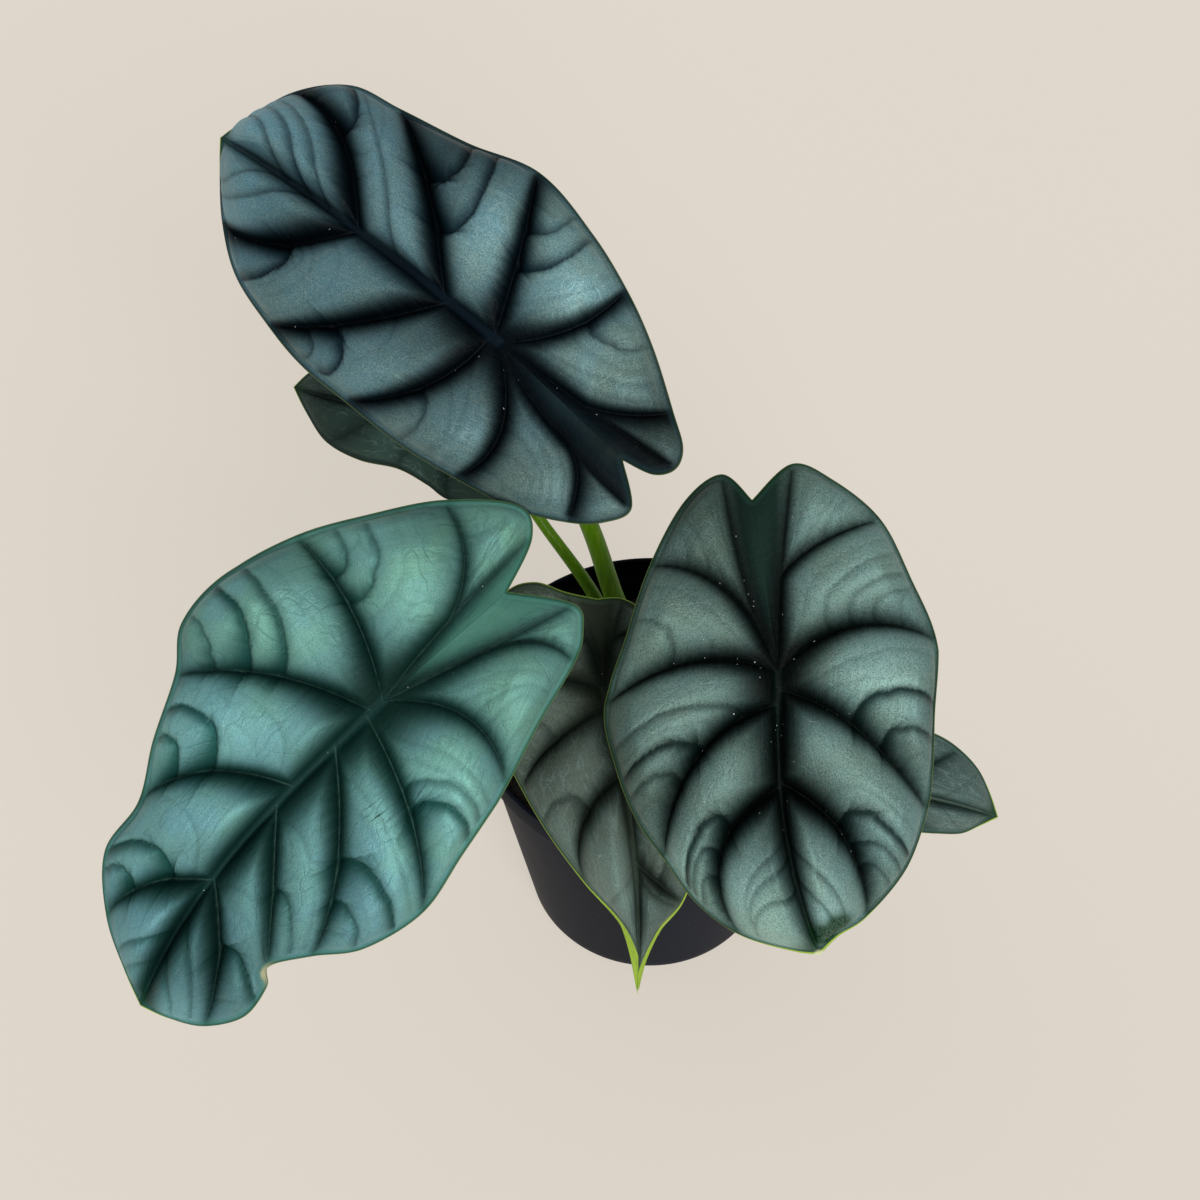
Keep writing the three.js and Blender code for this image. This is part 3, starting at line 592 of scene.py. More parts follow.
def veins_of(plan, seed):
    """All veins of a half cut into straight pieces, as a table of start, end, strength,
    shade width on the tip side, shade width on the base side, rank and panel. Rank is 2 for
    the midrib, 1 for ribs and 0 for side veins and rays."""
    draw = np.random.default_rng(seed)
    leaf, size = plan["leaf"], plan["size"]
    pieces = []

    def lay(path, strength, tip_side, base_side, rank, panel=0):
        steps = len(path) - 1
        fall = (1 - np.linspace(0, 1, steps)) ** SHADE_TAPER
        widths = [end + (start - end) * fall for start, end in (tip_side, base_side)]
        table = np.stack([np.linspace(*strength, steps), *widths], 1)
        labels = np.tile([rank, panel], (steps, 1))
        pieces.append(np.concatenate([path[:-1], path[1:], table, labels], 1))

    # The dark beside each rib and the midrib is partly the leaf's own dark green and partly painted shade of
    # the walls that face away from the light, so the midrib's two sides differ.
    for path in rib_paths(plan, np.linspace(0, 0.97, 17))[1:-1]:
        lay(path, (1, leaf["rib_end"]), leaf["rib_dark"][:2], leaf["rib_dark"][2:], 1)
    spine = np.stack([np.linspace(0, leaf["length"] * VEIN_END, 25), np.zeros(25)], 1)
    lay(spine, (1, leaf["spine_end"]), (1, 1), plan["half"]["spine_dark"], 2)
    listed = list(plan["half"]["side_veins"])
    for number in range(2, plan["last"]):
        for leaves_at in np.arange(FAINT_FROM, FAINT_TO, FAINT_STEP):
            leaves_at = leaves_at + draw.uniform(-0.04, 0.04)
            reaches = np.clip(0.1 + 0.62 * leaves_at + draw.uniform(-0.12, 0.12), 0.06, 0.85)
            near = [abs(at - leaves_at) for k, at, *_ in listed if k == number]
            if min(near, default=1) > FAINT_ROOM:
                listed.append((number, leaves_at, reaches, draw.uniform(0.03, 0.16)))
    for number, leaves_at, reaches, strength in listed:
        path = place_of(plan, *side_vein(number, leaves_at, reaches))
        away = path - path[0]
        path[1:] += draw.normal(0, VEIN_WANDER, (len(path) - 1, 2)) * min(1, abs(away).max() / 10)
        inner = (LEAST_SHADE + INNER_SHADE * strength ** 1.5) * size
        outer = (LEAST_SHADE + OUTER_SHADE * strength) * size
        base_side = [width * size for width in BASE_SHADE]
        lay(path, (strength, strength * 0.7), (inner, outer), base_side, 0, number - 1)
    for from_q, to_q, strength in plan["half"]["rays"]:
        path = place_of(plan, np.linspace(from_q, to_q, VEIN_STEPS), np.linspace(0.03, 0.9, VEIN_STEPS))
        inner = (LEAST_SHADE + RAY_SHADE * strength) * size
        lay(path, (strength, strength * 0.5), (inner, 0.8 * size), (0.7 * size, 0.5 * size), 0, int(from_q))
    return np.concatenate(pieces)


def nearest_piece(points, pieces, recipes):
    """For each point and recipe the least over all pieces of (distance / width)^power less
    log(weight). A recipe holds, for every piece, its weight, its width on the tip side and
    its width on the base side, and then the power, 1 or 2."""
    a, run = pieces[:, :2], pieces[:, 2:4] - pieces[:, :2]
    length2 = np.maximum((run ** 2).sum(1), 1e-9)
    ready = [(np.log(np.maximum(weight, 1e-6)), 1 / tip, 1 / base, power)
             for weight, tip, base, power in recipes]
    out = np.empty((len(recipes), len(points)), np.float32)
    for at in range(0, len(points), AT_ONCE):
        dx, dy = (points[at:at + AT_ONCE, None] - a).transpose(2, 0, 1)
        share = np.clip((dx * run[:, 0] + dy * run[:, 1]) / length2, 0, 1)
        on_tip_side = dx * run[:, 1] > dy * run[:, 0]
        dx, dy = dx - share * run[:, 0], dy - share * run[:, 1]
        square = dx * dx + dy * dy
        distance = np.sqrt(square)
        for k, (log_weight, tip, base, power) in enumerate(ready):
            scale = np.where(on_tip_side, tip, base)
            measure = distance * scale if power == 1 else square * scale * scale
            out[k, at:at + AT_ONCE] = (measure - log_weight).min(1)
    return out


def by_panel(points, panel, pieces, recipes):
    """The same for all points, taken a panel at a time, so that a point is only set against
    the ribs and against the side veins of its own panel and the two beside it."""
    points = points.astype(np.float32)
    pieces = pieces.astype(np.float32)
    out = np.empty((len(recipes(pieces)), len(points)), np.float32)
    for number in np.unique(panel):
        here = panel == number
        near = pieces[(pieces[:, 7] > 0) | (abs(pieces[:, 8] - number) <= 1)]
        out[:, here] = nearest_piece(points[here], near, recipes(near))
    return out


def distance_to_line(points, line):
    """The distance from each point to the nearest piece of a line of points."""
    pieces = np.concatenate([line[:-1], line[1:]], 1).astype(np.float32)
    one = np.ones(len(pieces), np.float32)
    return nearest_piece(points.astype(np.float32), pieces, [(one, one, one, 1)])[0]


print("vein pieces on it:", len(veins_of(HALVES["low", "left"], 1)))

# %% [markdown]
# The relief is what makes this plant: the leaf grows faster between its ribs than along
# them, so each panel swells like a pillow, steepest on the tip side of a rib, and every rib
# lies in a sharp crease. The height is that pillow, less a crease along each side vein,
# less the flat band round the margin. The same distances give the dark by the veins, partly
# the leaf's own dark green and partly painted shade of the creases and the walls beside them.

# %% Relief and markings
QUILT = 0.245  # height of a panel against its width
LEAN = 0.82  # below one, the pillow's crest moves towards the rib on its base side
CREST = 0.64  # below one, the pillow is flatter on top and steeper beside its ribs
TAIL, TAIL_REACH = 0.6, 14  # share of the height left at the margin band, and how far in it is felt
SHOULDER, SPINE_RISE = 4.5, 7  # how far from the band and from the midrib's channel it rises
SHEET = 0.75  # thickness of the blade between its ribs
CREASE = 2.8  # depth of the strongest side vein
TROUGH = 0.09  # height of the corridor between the basal ribs against its half width
DENT, DENT_SPACING = 0.35, 15  # height of the slow dents and how far apart they lie
GROOVE, BAND_DROOP = 0.2, 0.5  # depth of the groove inside the margin band, and the band's fall
CURL_REACH = 2.4  # how far round a nick the margin curls
HUB, HUB_DARK, HUB_BARE = 15, 0.94, 0.6  # reach of the dark navel, partly painted shade of its funnel, how dark, how bare of pale lines
CORE_EDGE = 2.4  # the higher, the more sharply a rib's dark core ends
PAINTED_PANEL_SHADE_WIDTH = 1.9  # how far the painted shade across a panel reaches from its rib, in widths of the rib's core
NICK_REACH, SCAR_REACH, GREEN_REACH = 3.0, 4.2, 5.0
DEEPEST_PAINTED_SHADE = 0.12  # share of the colour left where the painted shade is deepest
MARKS = ("halo", "shade", "painted_panel_shade", "side", "thread", "cord", "edge", "tip", "throat", "spine", "tone",
         "nick", "scar", "keel", "pale", "green", "under")


def away_from(plan, flat, u, v):
    """The distance from each point of a half to one place of the plan."""
    return np.hypot(flat[:, 0] - u, flat[:, 1] - v * plan["sign"])


def vein_recipes(pieces):
    """Weights and widths of what a vein does to the top: a rib's dark core and plateau, a
    side vein's shade, its crease, its thin line, and a rib's thin line. The core, the plateau
    and the side vein's shade are partly the leaf's own dark green and partly painted shade."""
    strength, tip, base, rank = pieces[:, 4], pieces[:, 5], pieces[:, 6], pieces[:, 7]
    rib, side = (rank > 0).astype(np.float32), (rank == 0).astype(np.float32)
    one = np.ones_like(strength)
    return [
        (rib * strength, tip * 0.85, base * 0.85, 1),
        (rib * strength, tip * 1.05, base * 1.05, 1),
        (side * np.minimum(strength * 1.45, 1), tip, base, 2),
        (side * strength, 0.6 + tip * 0.6, one * 1.1, 1),
        (side * np.minimum(strength * 1.4, 1), one * 0.25, one * 0.25, 2),
        (rib * strength * np.where(rank == 2, 0.35, 1.0).astype(np.float32), one * 0.2, one * 0.2, 2),
    ]


def cord_recipes(pieces):
    """Weights and widths of what a vein does to the underside: its crease and its cord."""
    strength, tip, rank = pieces[:, 4], pieces[:, 5], pieces[:, 7]
    one = np.ones_like(strength)
    cord = np.where(rank == 2, 1.0, np.where(rank == 1, 0.55, 0.15 * strength))
    return [
        ((rank == 0) * strength, 0.6 + tip * 0.6, one * 1.1, 1),
        (cord, np.where(rank == 2, 1.6, 1.1), np.where(rank == 2, 1.6, 1.1), 2),
    ]


def relief(plan, flat, q, t, width, edge, crease, seed):
    """Height over the bent sheet: the pillows, cut down to nought at the midrib channel and
    at the margin band, the creases, the band's droop, and slow dents as on any leaf."""
    leaf, size = plan["leaf"], plan["size"]
    i = np.clip(np.floor(q).astype(int), 0, plan["last"] - 1)
    f = np.clip(q - i, 0, 1)
    from_spine = np.hypot(np.minimum(flat[:, 0], 0), flat[:, 1])
    lean = f ** LEAN
    swell = QUILT * leaf["puff"] * width * (4 * lean * (1 - lean)) ** CREST
    shoulder = np.clip((edge - leaf["band"]) / (SHOULDER * size), 0, 1)
    tail = TAIL + (1 - TAIL) * ease(edge, leaf["band"], TAIL_REACH * size)
    swell *= tail * (1 - (1 - shoulder) ** 2) ** 0.6
    channel = (1.2 - 0.8 * np.clip(flat[:, 0] / leaf["length"], 0, 1)) * size
    rise = np.clip((from_spine - channel) / (SPINE_RISE * size), 0, 1)
    swell *= (1 - (1 - rise) ** 2) ** 0.65
    trough = i == 0
    swell[trough] = (TROUGH * width * (1 - f ** 2))[trough] * ease(edge[trough], 0, 6)
    dents = wobble(flat[:, 0] / DENT_SPACING, q * 1.7 + t * 3, seed)
    height = swell + DENT * size * dents * ease(edge, 0, 9)
    height -= CREASE * leaf["puff"] * size * crease * ease(edge, 1.0, 4) * ease(swell, 0, 1.6)
    height -= GROOVE * size * np.exp(-((edge - leaf["band"]) / 0.5) ** 2)
    height -= BAND_DROOP * size * (1 - np.clip(edge / leaf["band"], 0, 1)) ** 2
    for u, v, curl in leaf.get("nicks", []):
        height += curl * np.exp(-(away_from(plan, flat, u, v) / CURL_REACH) ** 2)
    return height, channel, from_spine


def spot_mask(plan, flat, spots, radius):
    """One near any of the spots, falling off as exp(-(distance / radius)^2)."""
    mask = np.zeros(len(flat))
    for u, v, *_ in spots:
        mask = np.maximum(mask, np.exp(-(away_from(plan, flat, u, v) / radius) ** 2))
    return mask


def paleness(plan, flat):
    """How much of the leaf's colour shows, as painted light and shade: the leaf's own level plus
    its painted lighter and painted shaded spots, each fading out as exp(-(distance / radius)^2)."""
    level = np.full(len(flat), float(plan["leaf"]["pale"]))
    for u, v, radius, amount in plan["leaf"]["painted_light_and_shade"]:
        level += amount * np.exp(-(away_from(plan, flat, u, v) / radius) ** 2)
    return np.clip(level, DEEPEST_PAINTED_SHADE, 1)


def surface_of(plan, cell, seed, top):
    """The points of a half with their heights over the bent sheet and their markings."""
    flat, q, t, width, faces, row = half_skin(plan, cell)
    leaf, size = plan["leaf"], plan["size"]
    panel = np.clip(np.floor(q).astype(int), 0, plan["last"] - 1)
    margin = through(plan["margin"], np.linspace(0, len(plan["margin"]) - 1, 220))
    edge = distance_to_line(flat, margin)
    pieces = veins_of(plan, seed)
    values = {label: np.zeros(len(flat)) for label in MARKS}
    if top:
        core, plateau, side, crease, thread, cord = by_panel(flat, panel, pieces, vein_recipes)
        hub = np.exp(-(away_from(plan, flat, 0, 0) / (HUB * size)) ** 2)
        # Painted shade in part: the halo is the leaf's own dark green by its ribs, with painted shade of the
        # creases, and round the navel painted shade of its funnel.
        values["halo"] = 1 - (1 - np.exp(-np.maximum(core, 0) ** CORE_EDGE)) * (1 - HUB_DARK * hub)
        values["shade"] = np.exp(-np.maximum(plateau, 0) ** CORE_EDGE)
        # Painted shade across each panel, darker towards its ribs, as a puffed panel shades.
        values["painted_panel_shade"] = np.exp(-(np.maximum(core, 0) / PAINTED_PANEL_SHADE_WIDTH) ** 2)
        values["side"], values["thread"] = np.exp(-side), np.exp(-thread)
        values["cord"] = np.exp(-cord) * (1 - HUB_BARE * hub)
    else:
        crease, keel = by_panel(flat, panel, pieces, cord_recipes)
        values["keel"] = np.exp(-keel)
    height, channel, from_spine = relief(plan, flat, q, t, width, edge, np.exp(-crease), seed)
    (u, v), sign = flat.T, plan["sign"]
    tone_at, tone_u, tone_v = leaf["tone"]
    values["edge"] = edge / 10
    values["tip"] = np.hypot(u - leaf["length"], v) / 100
    values["throat"] = (panel == 0) * ease(1 - q + panel, 0.0, 0.4) * ease(-u, 4 * size, 12 * size)
    values["spine"] = (1 - ease(from_spine, channel, channel + 0.8 * size)) * (u > -1)
    values["tone"] = np.clip(tone_at + tone_u * u / 100 + tone_v * sign * v / 100, 0, 1)
    values["pale"] = paleness(plan, flat)
    values["nick"] = spot_mask(plan, flat, leaf.get("nicks", []), NICK_REACH) * (1 - ease(edge, 0.5, 1.6))
    values["scar"] = spot_mask(plan, flat, leaf.get("scars", []), SCAR_REACH)
    values["green"] = ease(spot_mask(plan, flat, leaf.get("green_spots", []), GREEN_REACH), 0.1, 0.8)
    weave_uv = np.stack([sign * (q + 10) * 0.25, t * 0.55], 1)
    return dict(flat=flat * [1, sign], height=height, values=values, row=row, uv=weave_uv,
                faces=faces if sign > 0 else faces[:, ::-1])


def joined(halves, top):
    """Both halves as one sheet: points in one place merge, flat faces drop out. Gives the
    sheet with its margin as one loop from the sinus round the tip and back."""
    count = len(halves[0]["flat"])
    flat = np.concatenate([h["flat"] for h in halves])
    uv = np.concatenate([h["uv"] for h in halves])
    faces = np.concatenate([halves[0]["faces"], halves[1]["faces"] + count])
    first, group = same_places(flat)
    corner_uv = uv[faces]
    faces = group[faces]
    whole = (faces[:, 0] != faces[:, 1]) & (faces[:, 1] != faces[:, 2]) & (faces[:, 2] != faces[:, 0])
    pick = {k: np.concatenate([h["values"][k] for h in halves])[first] for k in halves[0]["values"]}
    height = np.concatenate([h["height"] for h in halves])[first]
    (left, left_at), (right, right_at) = halves[0]["row"], halves[1]["row"]
    loop = np.concatenate([left, (right + count)[::-1][1:]])
    at = np.concatenate([left_at, left_at[-1] + right_at[-1] - right_at[::-1][1:]])
    faces, corner_uv = faces[whole], corner_uv[whole]
    if not top:
        faces, corner_uv = faces[:, ::-1], corner_uv[:, ::-1]
    return dict(flat=flat[first], height=height, values=pick, faces=faces, corner_uv=corner_uv,
                loop=group[loop], at=at)


# %% [markdown]
# A blade is thin but not a sheet of paper: its underside follows the top three quarters of
# a millimetre below, with the ribs standing out as round cords, and a rounded edge joins
# the two. The underside has larger cells, because it is smoother.

# %% One whole blade
TOP_CELL, UNDER_CELL = 0.55, 1.2
EDGE_BEAD = 0.22  # how far the rounded edge stands out
EDGE_UNDER = 0.3  # how much of the underside's colour it shows
KEEL = 1.6  # how far a rib's cord stands out below


def blade_mesh(name, leaf, plans, seed):
    """Top sheet, rounded edge and underside as one closed mesh."""
    top = joined([surface_of(p, TOP_CELL, seed, True) for p in plans], True)
    under = joined([surface_of(p, UNDER_CELL, seed, False) for p in plans], False)
    under_height = under["height"] - SHEET - KEEL * under["values"]["keel"]
    rim_flat, rim_height = top["flat"][top["loop"]], top["height"][top["loop"]]
    outward = rim_flat - np.array([leaf["length"] * 0.3, 0])
    outward /= np.linalg.norm(outward, axis=1)[:, None]
    bead = rim_flat + EDGE_BEAD * outward
    flat = np.concatenate([top["flat"], bead[:-1], under["flat"]])
    height = np.concatenate([top["height"], (rim_height - SHEET / 2)[:-1], under_height])
    points = bend(leaf, flat[:, 0], flat[:, 1], height)
    bead_at = len(top["flat"])
    under_at = bead_at + len(bead) - 1
    bead_loop = bead_at + np.arange(len(bead)) % (len(bead) - 1)
    rim = np.concatenate([
        zip_rows(top["loop"], bead_loop, top["at"], top["at"]),
        zip_rows(bead_loop, under["loop"] + under_at, top["at"], under["at"]),
    ])
    values = {label: np.concatenate([mark, mark[top["loop"]][:-1], under["values"][label]])
              for label, mark in top["values"].items()}
    values["under"][bead_at:under_at] = EDGE_UNDER
    values["under"][under_at:] = 1
    faces = np.concatenate([top["faces"], rim, under["faces"] + under_at])
    corner_uv = np.concatenate([top["corner_uv"], np.zeros((len(rim), 3, 2)), under["corner_uv"]])
    mesh = mesh_from(name, points, [faces], values, corner_uv)
    print(name, "faces", len(mesh.polygons), "highest panel", round(float(height.max()), 2), "mm")
    return mesh


def piece(name, mesh, material, slot, *nodes):
    """A finished piece: an object at the origin that rides with the pot and stands for the
    nodes of the frame that it replaces."""
    mesh.materials.append(material)
    obj = bpy.data.objects.new(name, mesh)
    bpy.context.scene.collection.objects.link(obj)
    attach(obj, "root")
    if nodes:
        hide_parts(*nodes)
    return obj


# %% [markdown]
# Materials come next. A material is a net of nodes, and written out node by node it hides
# what it works out. So a signal stands for the output of a node, and a sum on signals adds
# the nodes for it. Colours are written as a screen shows them, from 0 to 255.

# %% Node helpers
class Signal:
    """A number, place or colour that nodes work out. A sum on it adds a maths node."""

    def __init__(self, socket):
        self.socket, self.tree = socket, socket.id_data

    def __add__(self, other):
        return maths("ADD", self, other)

    def __sub__(self, other):
        return maths("SUBTRACT", self, other)

    def __mul__(self, other):
        return maths("MULTIPLY", self, other)

    def __pow__(self, other):
        return maths("POWER", self, other)


def feed(tree, socket, value):
    """Gives a node's input its value: a link from a signal, or else a constant."""
    if isinstance(value, Signal):
        tree.links.new(value.socket, socket)
    else:
        socket.default_value = value


def add(tree, kind, _settings=None, **sockets):
    """Adds a node and gives its outputs by name. Settings are its own properties; sockets
    are its inputs by name, with underscores for spaces."""
    node = tree.nodes.new(kind)
    for label, value in (_settings or {}).items():
        setattr(node, label, value)
    for label, value in sockets.items():
        feed(tree, node.inputs[label.replace("_", " ")], value)
    return {socket.name: Signal(socket) for socket in node.outputs}


def maths(how, *terms):
    """One sum of signals and numbers: how is ADD, MULTIPLY and so on."""
    tree = next(term.tree for term in terms if isinstance(term, Signal))
    node = tree.nodes.new("ShaderNodeMath")
    node.operation = how
    for socket, term in zip(node.inputs, terms):
        feed(tree, socket, term)
    return Signal(node.outputs[0])


def ramp(value, low, high, to_low=0.0, to_high=1.0):
    """Turns low..high into to_low..to_high, smoothly and without going past them."""
    return add(value.tree, "ShaderNodeMapRange", {"interpolation_type": "SMOOTHSTEP"}, Value=value,
               From_Min=low, From_Max=high, To_Min=to_low, To_Max=to_high)["Result"]


def noise(place, scale, **settings):
    """Soft hills from nought to one, scale of them to each unit of the place."""
    return add(place.tree, "ShaderNodeTexNoise", Vector=place, Scale=scale, **settings)["Fac"]


def stretched(place, *scale, shift=0):
    """The place counted by its own scale in each direction, and shifted."""
    return add(place.tree, "ShaderNodeMapping", Vector=place, Scale=scale,
               Location=(shift, shift, 0))["Vector"]


def marking(tree, label):
    """One of the numbers that each point of a mesh carries."""
    return add(tree, "ShaderNodeAttribute", {"attribute_name": label})["Fac"]


def linear(red, green, blue):
    """A colour as a screen shows it, 0 to 255, as the light that it stands for."""
    share = np.array([red, green, blue]) / 255
    light = np.where(share <= 0.04045, share / 12.92, ((share + 0.055) / 1.055) ** 2.4)
    return tuple(float(x) for x in light)


def blend(share, low, high):
    """Mixes two colours by a share from nought to one. A tuple is a screen colour."""
    node = share.tree.nodes.new("ShaderNodeMix")
    node.data_type = "RGBA"
    feed(share.tree, node.inputs[0], share)
    for socket, colour in ((node.inputs[6], low), (node.inputs[7], high)):
        feed(share.tree, socket, (*linear(*colour), 1) if isinstance(colour, tuple) else colour)
    return Signal(node.outputs[2])


def layered(colour, *layers):
    """Lays colours over one another, each by its own share."""
    for share, over in layers:
        colour = blend(share, colour, over)
    return colour


def new_material(name):
    """A material with its Principled shader and the place signal that its nodes start from."""
    material = bpy.data.materials.new(name)
    material.use_nodes = True
    tree = material.node_tree
    return material, tree.nodes["Principled BSDF"], add(tree, "ShaderNodeTexCoord")["Object"]


def dress(shader, colour, rough, bumps, strength, depth):
    """Joins colour, roughness and bumps of some depth in metres to a shader."""
    feed(colour.tree, shader.inputs["Base Color"], colour)
    feed(colour.tree, shader.inputs["Roughness"], rough)
    bump = add(colour.tree, "ShaderNodeBump", Height=bumps, Strength=strength, Distance=depth)
    feed(colour.tree, shader.inputs["Normal"], bump["Normal"])


print("mid grey on a screen is", round(linear(128, 128, 128)[0], 3), "of white's light")

# %% [markdown]
# Effects that several materials share are node groups: a fine skin grain, specks of pale
# dust, and the streaks and wrinkles of a leaf.

# %% Shared node groups
def new_group(name, **inputs):
    """A node group that reads a Vector and named numbers, each with its usual value."""
    tree = bpy.data.node_groups.new(name, "ShaderNodeTree")
    tree.interface.new_socket("Vector", in_out="INPUT", socket_type="NodeSocketVector")
    for label, usual in inputs.items():
        label = label.replace("_", " ")
        socket = tree.interface.new_socket(label, in_out="INPUT", socket_type="NodeSocketFloat")
        socket.default_value = usual
    return tree, add(tree, "NodeGroupInput")


def hand_out(tree, **results):
    """Makes each result an output of its group, under its own name."""
    for label in results:
        tree.interface.new_socket(label, in_out="OUTPUT", socket_type="NodeSocketFloat")
    outside = tree.nodes.new("NodeGroupOutput")
    for label, result in results.items():
        feed(tree, outside.inputs[label], result)
    return tree


def use(place, group, **sockets):
    """Places a shared group in a material with its own values."""
    return add(place.tree, "ShaderNodeGroup", {"node_tree": group}, Vector=place, **sockets)


def skin_grain_group():
    """Skin grain: two sizes of noise, one for cells and one for clouds of cells."""
    tree, given = new_group("skin_grain", Cells=2600.0, Clouds=160.0)
    return hand_out(tree, Grain=noise(given["Vector"], given["Cells"], Detail=2.0, Roughness=0.6),
                    Cloud=noise(given["Vector"], given["Clouds"], Detail=4.0, Roughness=0.6))


def dust_group():
    """Dust specks: points where a cell pattern's distance is tiny, in a few cells only."""
    tree, given = new_group("dust_specks", Scale=260.0, Size=0.12, Share=0.1)
    cells = add(tree, "ShaderNodeTexVoronoi", Vector=given["Vector"], Scale=given["Scale"])
    close = maths("LESS_THAN", cells["Distance"], given["Size"])
    draw = add(tree, "ShaderNodeSeparateColor", Color=cells["Color"])["Red"]
    return hand_out(tree, Specks=close * maths("LESS_THAN", draw, given["Share"]))


def streaks_group():
    """Fine streaks square to the ribs, turning square to the midrib beside it, as noise
    drawn out one way; wrinkles, as thin lines where a wide noise passes its middle; and
    ripples, as wide noise drawn out along the ribs."""
    tree, given = new_group("leaf_streaks", Near_Spine=0.0)
    weave_place = given["Vector"]
    one, two = [noise(stretched(weave_place, *scale), 1.0, Detail=3.0, Roughness=0.6)
                for scale in ((10, 150, 1), (150, 10, 1))]
    lines = []
    for scale, shift in (((13, 20, 1), 0), ((30, 12, 1), 5)):
        wide = stretched(weave_place, *scale, shift=shift)
        off = maths("ABSOLUTE", noise(wide, 1.0, Detail=0.6) - 0.5)
        lines.append(ramp(off, 0.0, 0.05, 1.0, 0.0) * ramp(noise(wide, 0.6, Detail=0.0), 0.45, 0.65))
    return hand_out(tree, Streak=(two - one) * given["Near Spine"] + one, Wrinkle=maths("MAXIMUM", *lines),
                    Ripple=noise(stretched(weave_place, 5, 40, 1), 1.0, Detail=2.0))


SKIN_GRAIN, DUST, STREAKS = skin_grain_group(), dust_group(), streaks_group()
print("groups:", SKIN_GRAIN.name, DUST.name, STREAKS.name)

# %% [markdown]
# The blade's finish is read off the markings that each point carries: silver on the
# panels, a teal shade and then near black towards the veins, a thin pale line on the ribs,
# and a green edge that turns lime at the tip. The dark by the veins is partly the leaf's own
# dark green and partly painted shade, a painted shade falls across each panel towards its
# ribs, the grain's bright specks are painted highlights, and a level over each leaf paints in
# its light and shade. The silver is air under the skin, which shines a little like metal, so
# it is given a share of metal that fades out in the dark.

# %% Blade finish
BLACK, DUST_COLOUR = (0, 0, 0), (205, 210, 206)
STRAY_DUST, MOST_DUST = 0.002, 0.85  # specks away from the dark veins, and how pale the palest is
SCAR_DARK = 0.85
LEAF_BUMP = 0.00024


def silver_colour(mark, look, grain, skin):
    """The panels' colour: green to blue by tone, speckled by grain, with painted highlights on
    its bright specks and darker pits, lined by wrinkles.
    """
    tone = ramp(grain["Cloud"], 0.3, 0.7) * 0.5 - 0.25 + mark["tone"]
    return layered(
        blend(tone, look["silver_green"], look["silver"]),
        (ramp(grain["Grain"], 0.5, 0.68, 0.0, 0.5 * look["speckle"]), look["painted_glint"]),
        (ramp(grain["Grain"], 0.32, 0.5, 0.36 * look["speckle"], 0.0), look["shade"]),
        (skin["Wrinkle"] * look["wrinkle_share"], look["wrinkle"]))


def vein_colour(mark, look, skin, colour):
    """Lays the corridor, the painted shade across each panel, the plateaus, the dark cores and
    the thin lines over the silver; plateaus, cores and the side veins' shades are partly the
    leaf's own dark green and partly painted shade. The streaks fray the edges of the dark shades."""
    def frayed(label, amount):
        return (skin["Streak"] - 0.5) * ramp(mark[label], 0.0, 0.3, 0.0, amount) + mark[label]

    return layered(
        colour,
        (mark["throat"] * look["throat_share"], look["throat"]),
        (ramp(skin["Streak"], 0.52, 0.72, 0.0, 0.4) * mark["throat"], look["band"]),
        (mark["painted_panel_shade"] * look["painted_panel_shade"], look["shade"]),
        (frayed("shade", 0.3) * look["plateau"], look["shade"]),
        (frayed("side", 0.12) * look["side_share"], look["shade"]),
        (frayed("halo", 0.15) * look["depth"], look["deep"]),
        (mark["thread"] * look["thread_share"], look["deep"]),
        (mark["spine"] * look["spine_share"], look["spine"]),
        (mark["cord"] * ramp(skin["Ripple"], 0.35, 0.65, 0.45, 1.0) * look["cord_share"], look["cord"]))


def margin_colour(mark, look, grain, colour):
    """Lays the margin over the rest: the smooth green band, its dark outline, the speckled
    green patch before the tip, and the lime edge, a hair's width until it nears the tip."""
    patch = maths("MAXIMUM", ramp(mark["tip"], 0.03, look["patch_reach"], 0.7, 0.0), mark["green"])
    near_tip = ramp(mark["tip"], 0.0, look["lime_reach"], 1.0, 0.0) ** 2.0
    lime = ramp(near_tip * look["lime_width"] + 0.012 - mark["edge"], -0.012, 0.012)
    return layered(
        colour,
        (ramp(mark["edge"], 0.06, 0.24, 1.0, 0.0) * look["band_share"], look["band"]),
        (ramp(mark["edge"], 0.02, 0.11, 1.0, 0.0) * 0.7, look["outline"]),
        (patch * ramp(grain["Grain"], 0.36, 0.5, 0.5, 1.0), look["patch"]),
        (lime * ramp(near_tip, 0.0, 0.15, look["hairline"], 1.0), look["lime"]),
        (ramp(mark["tip"], look["point"] * 0.3, look["point"], 1.0, 0.0), look["cream"]),
        (mark["nick"] * look["nick_share"], look["nick"]))


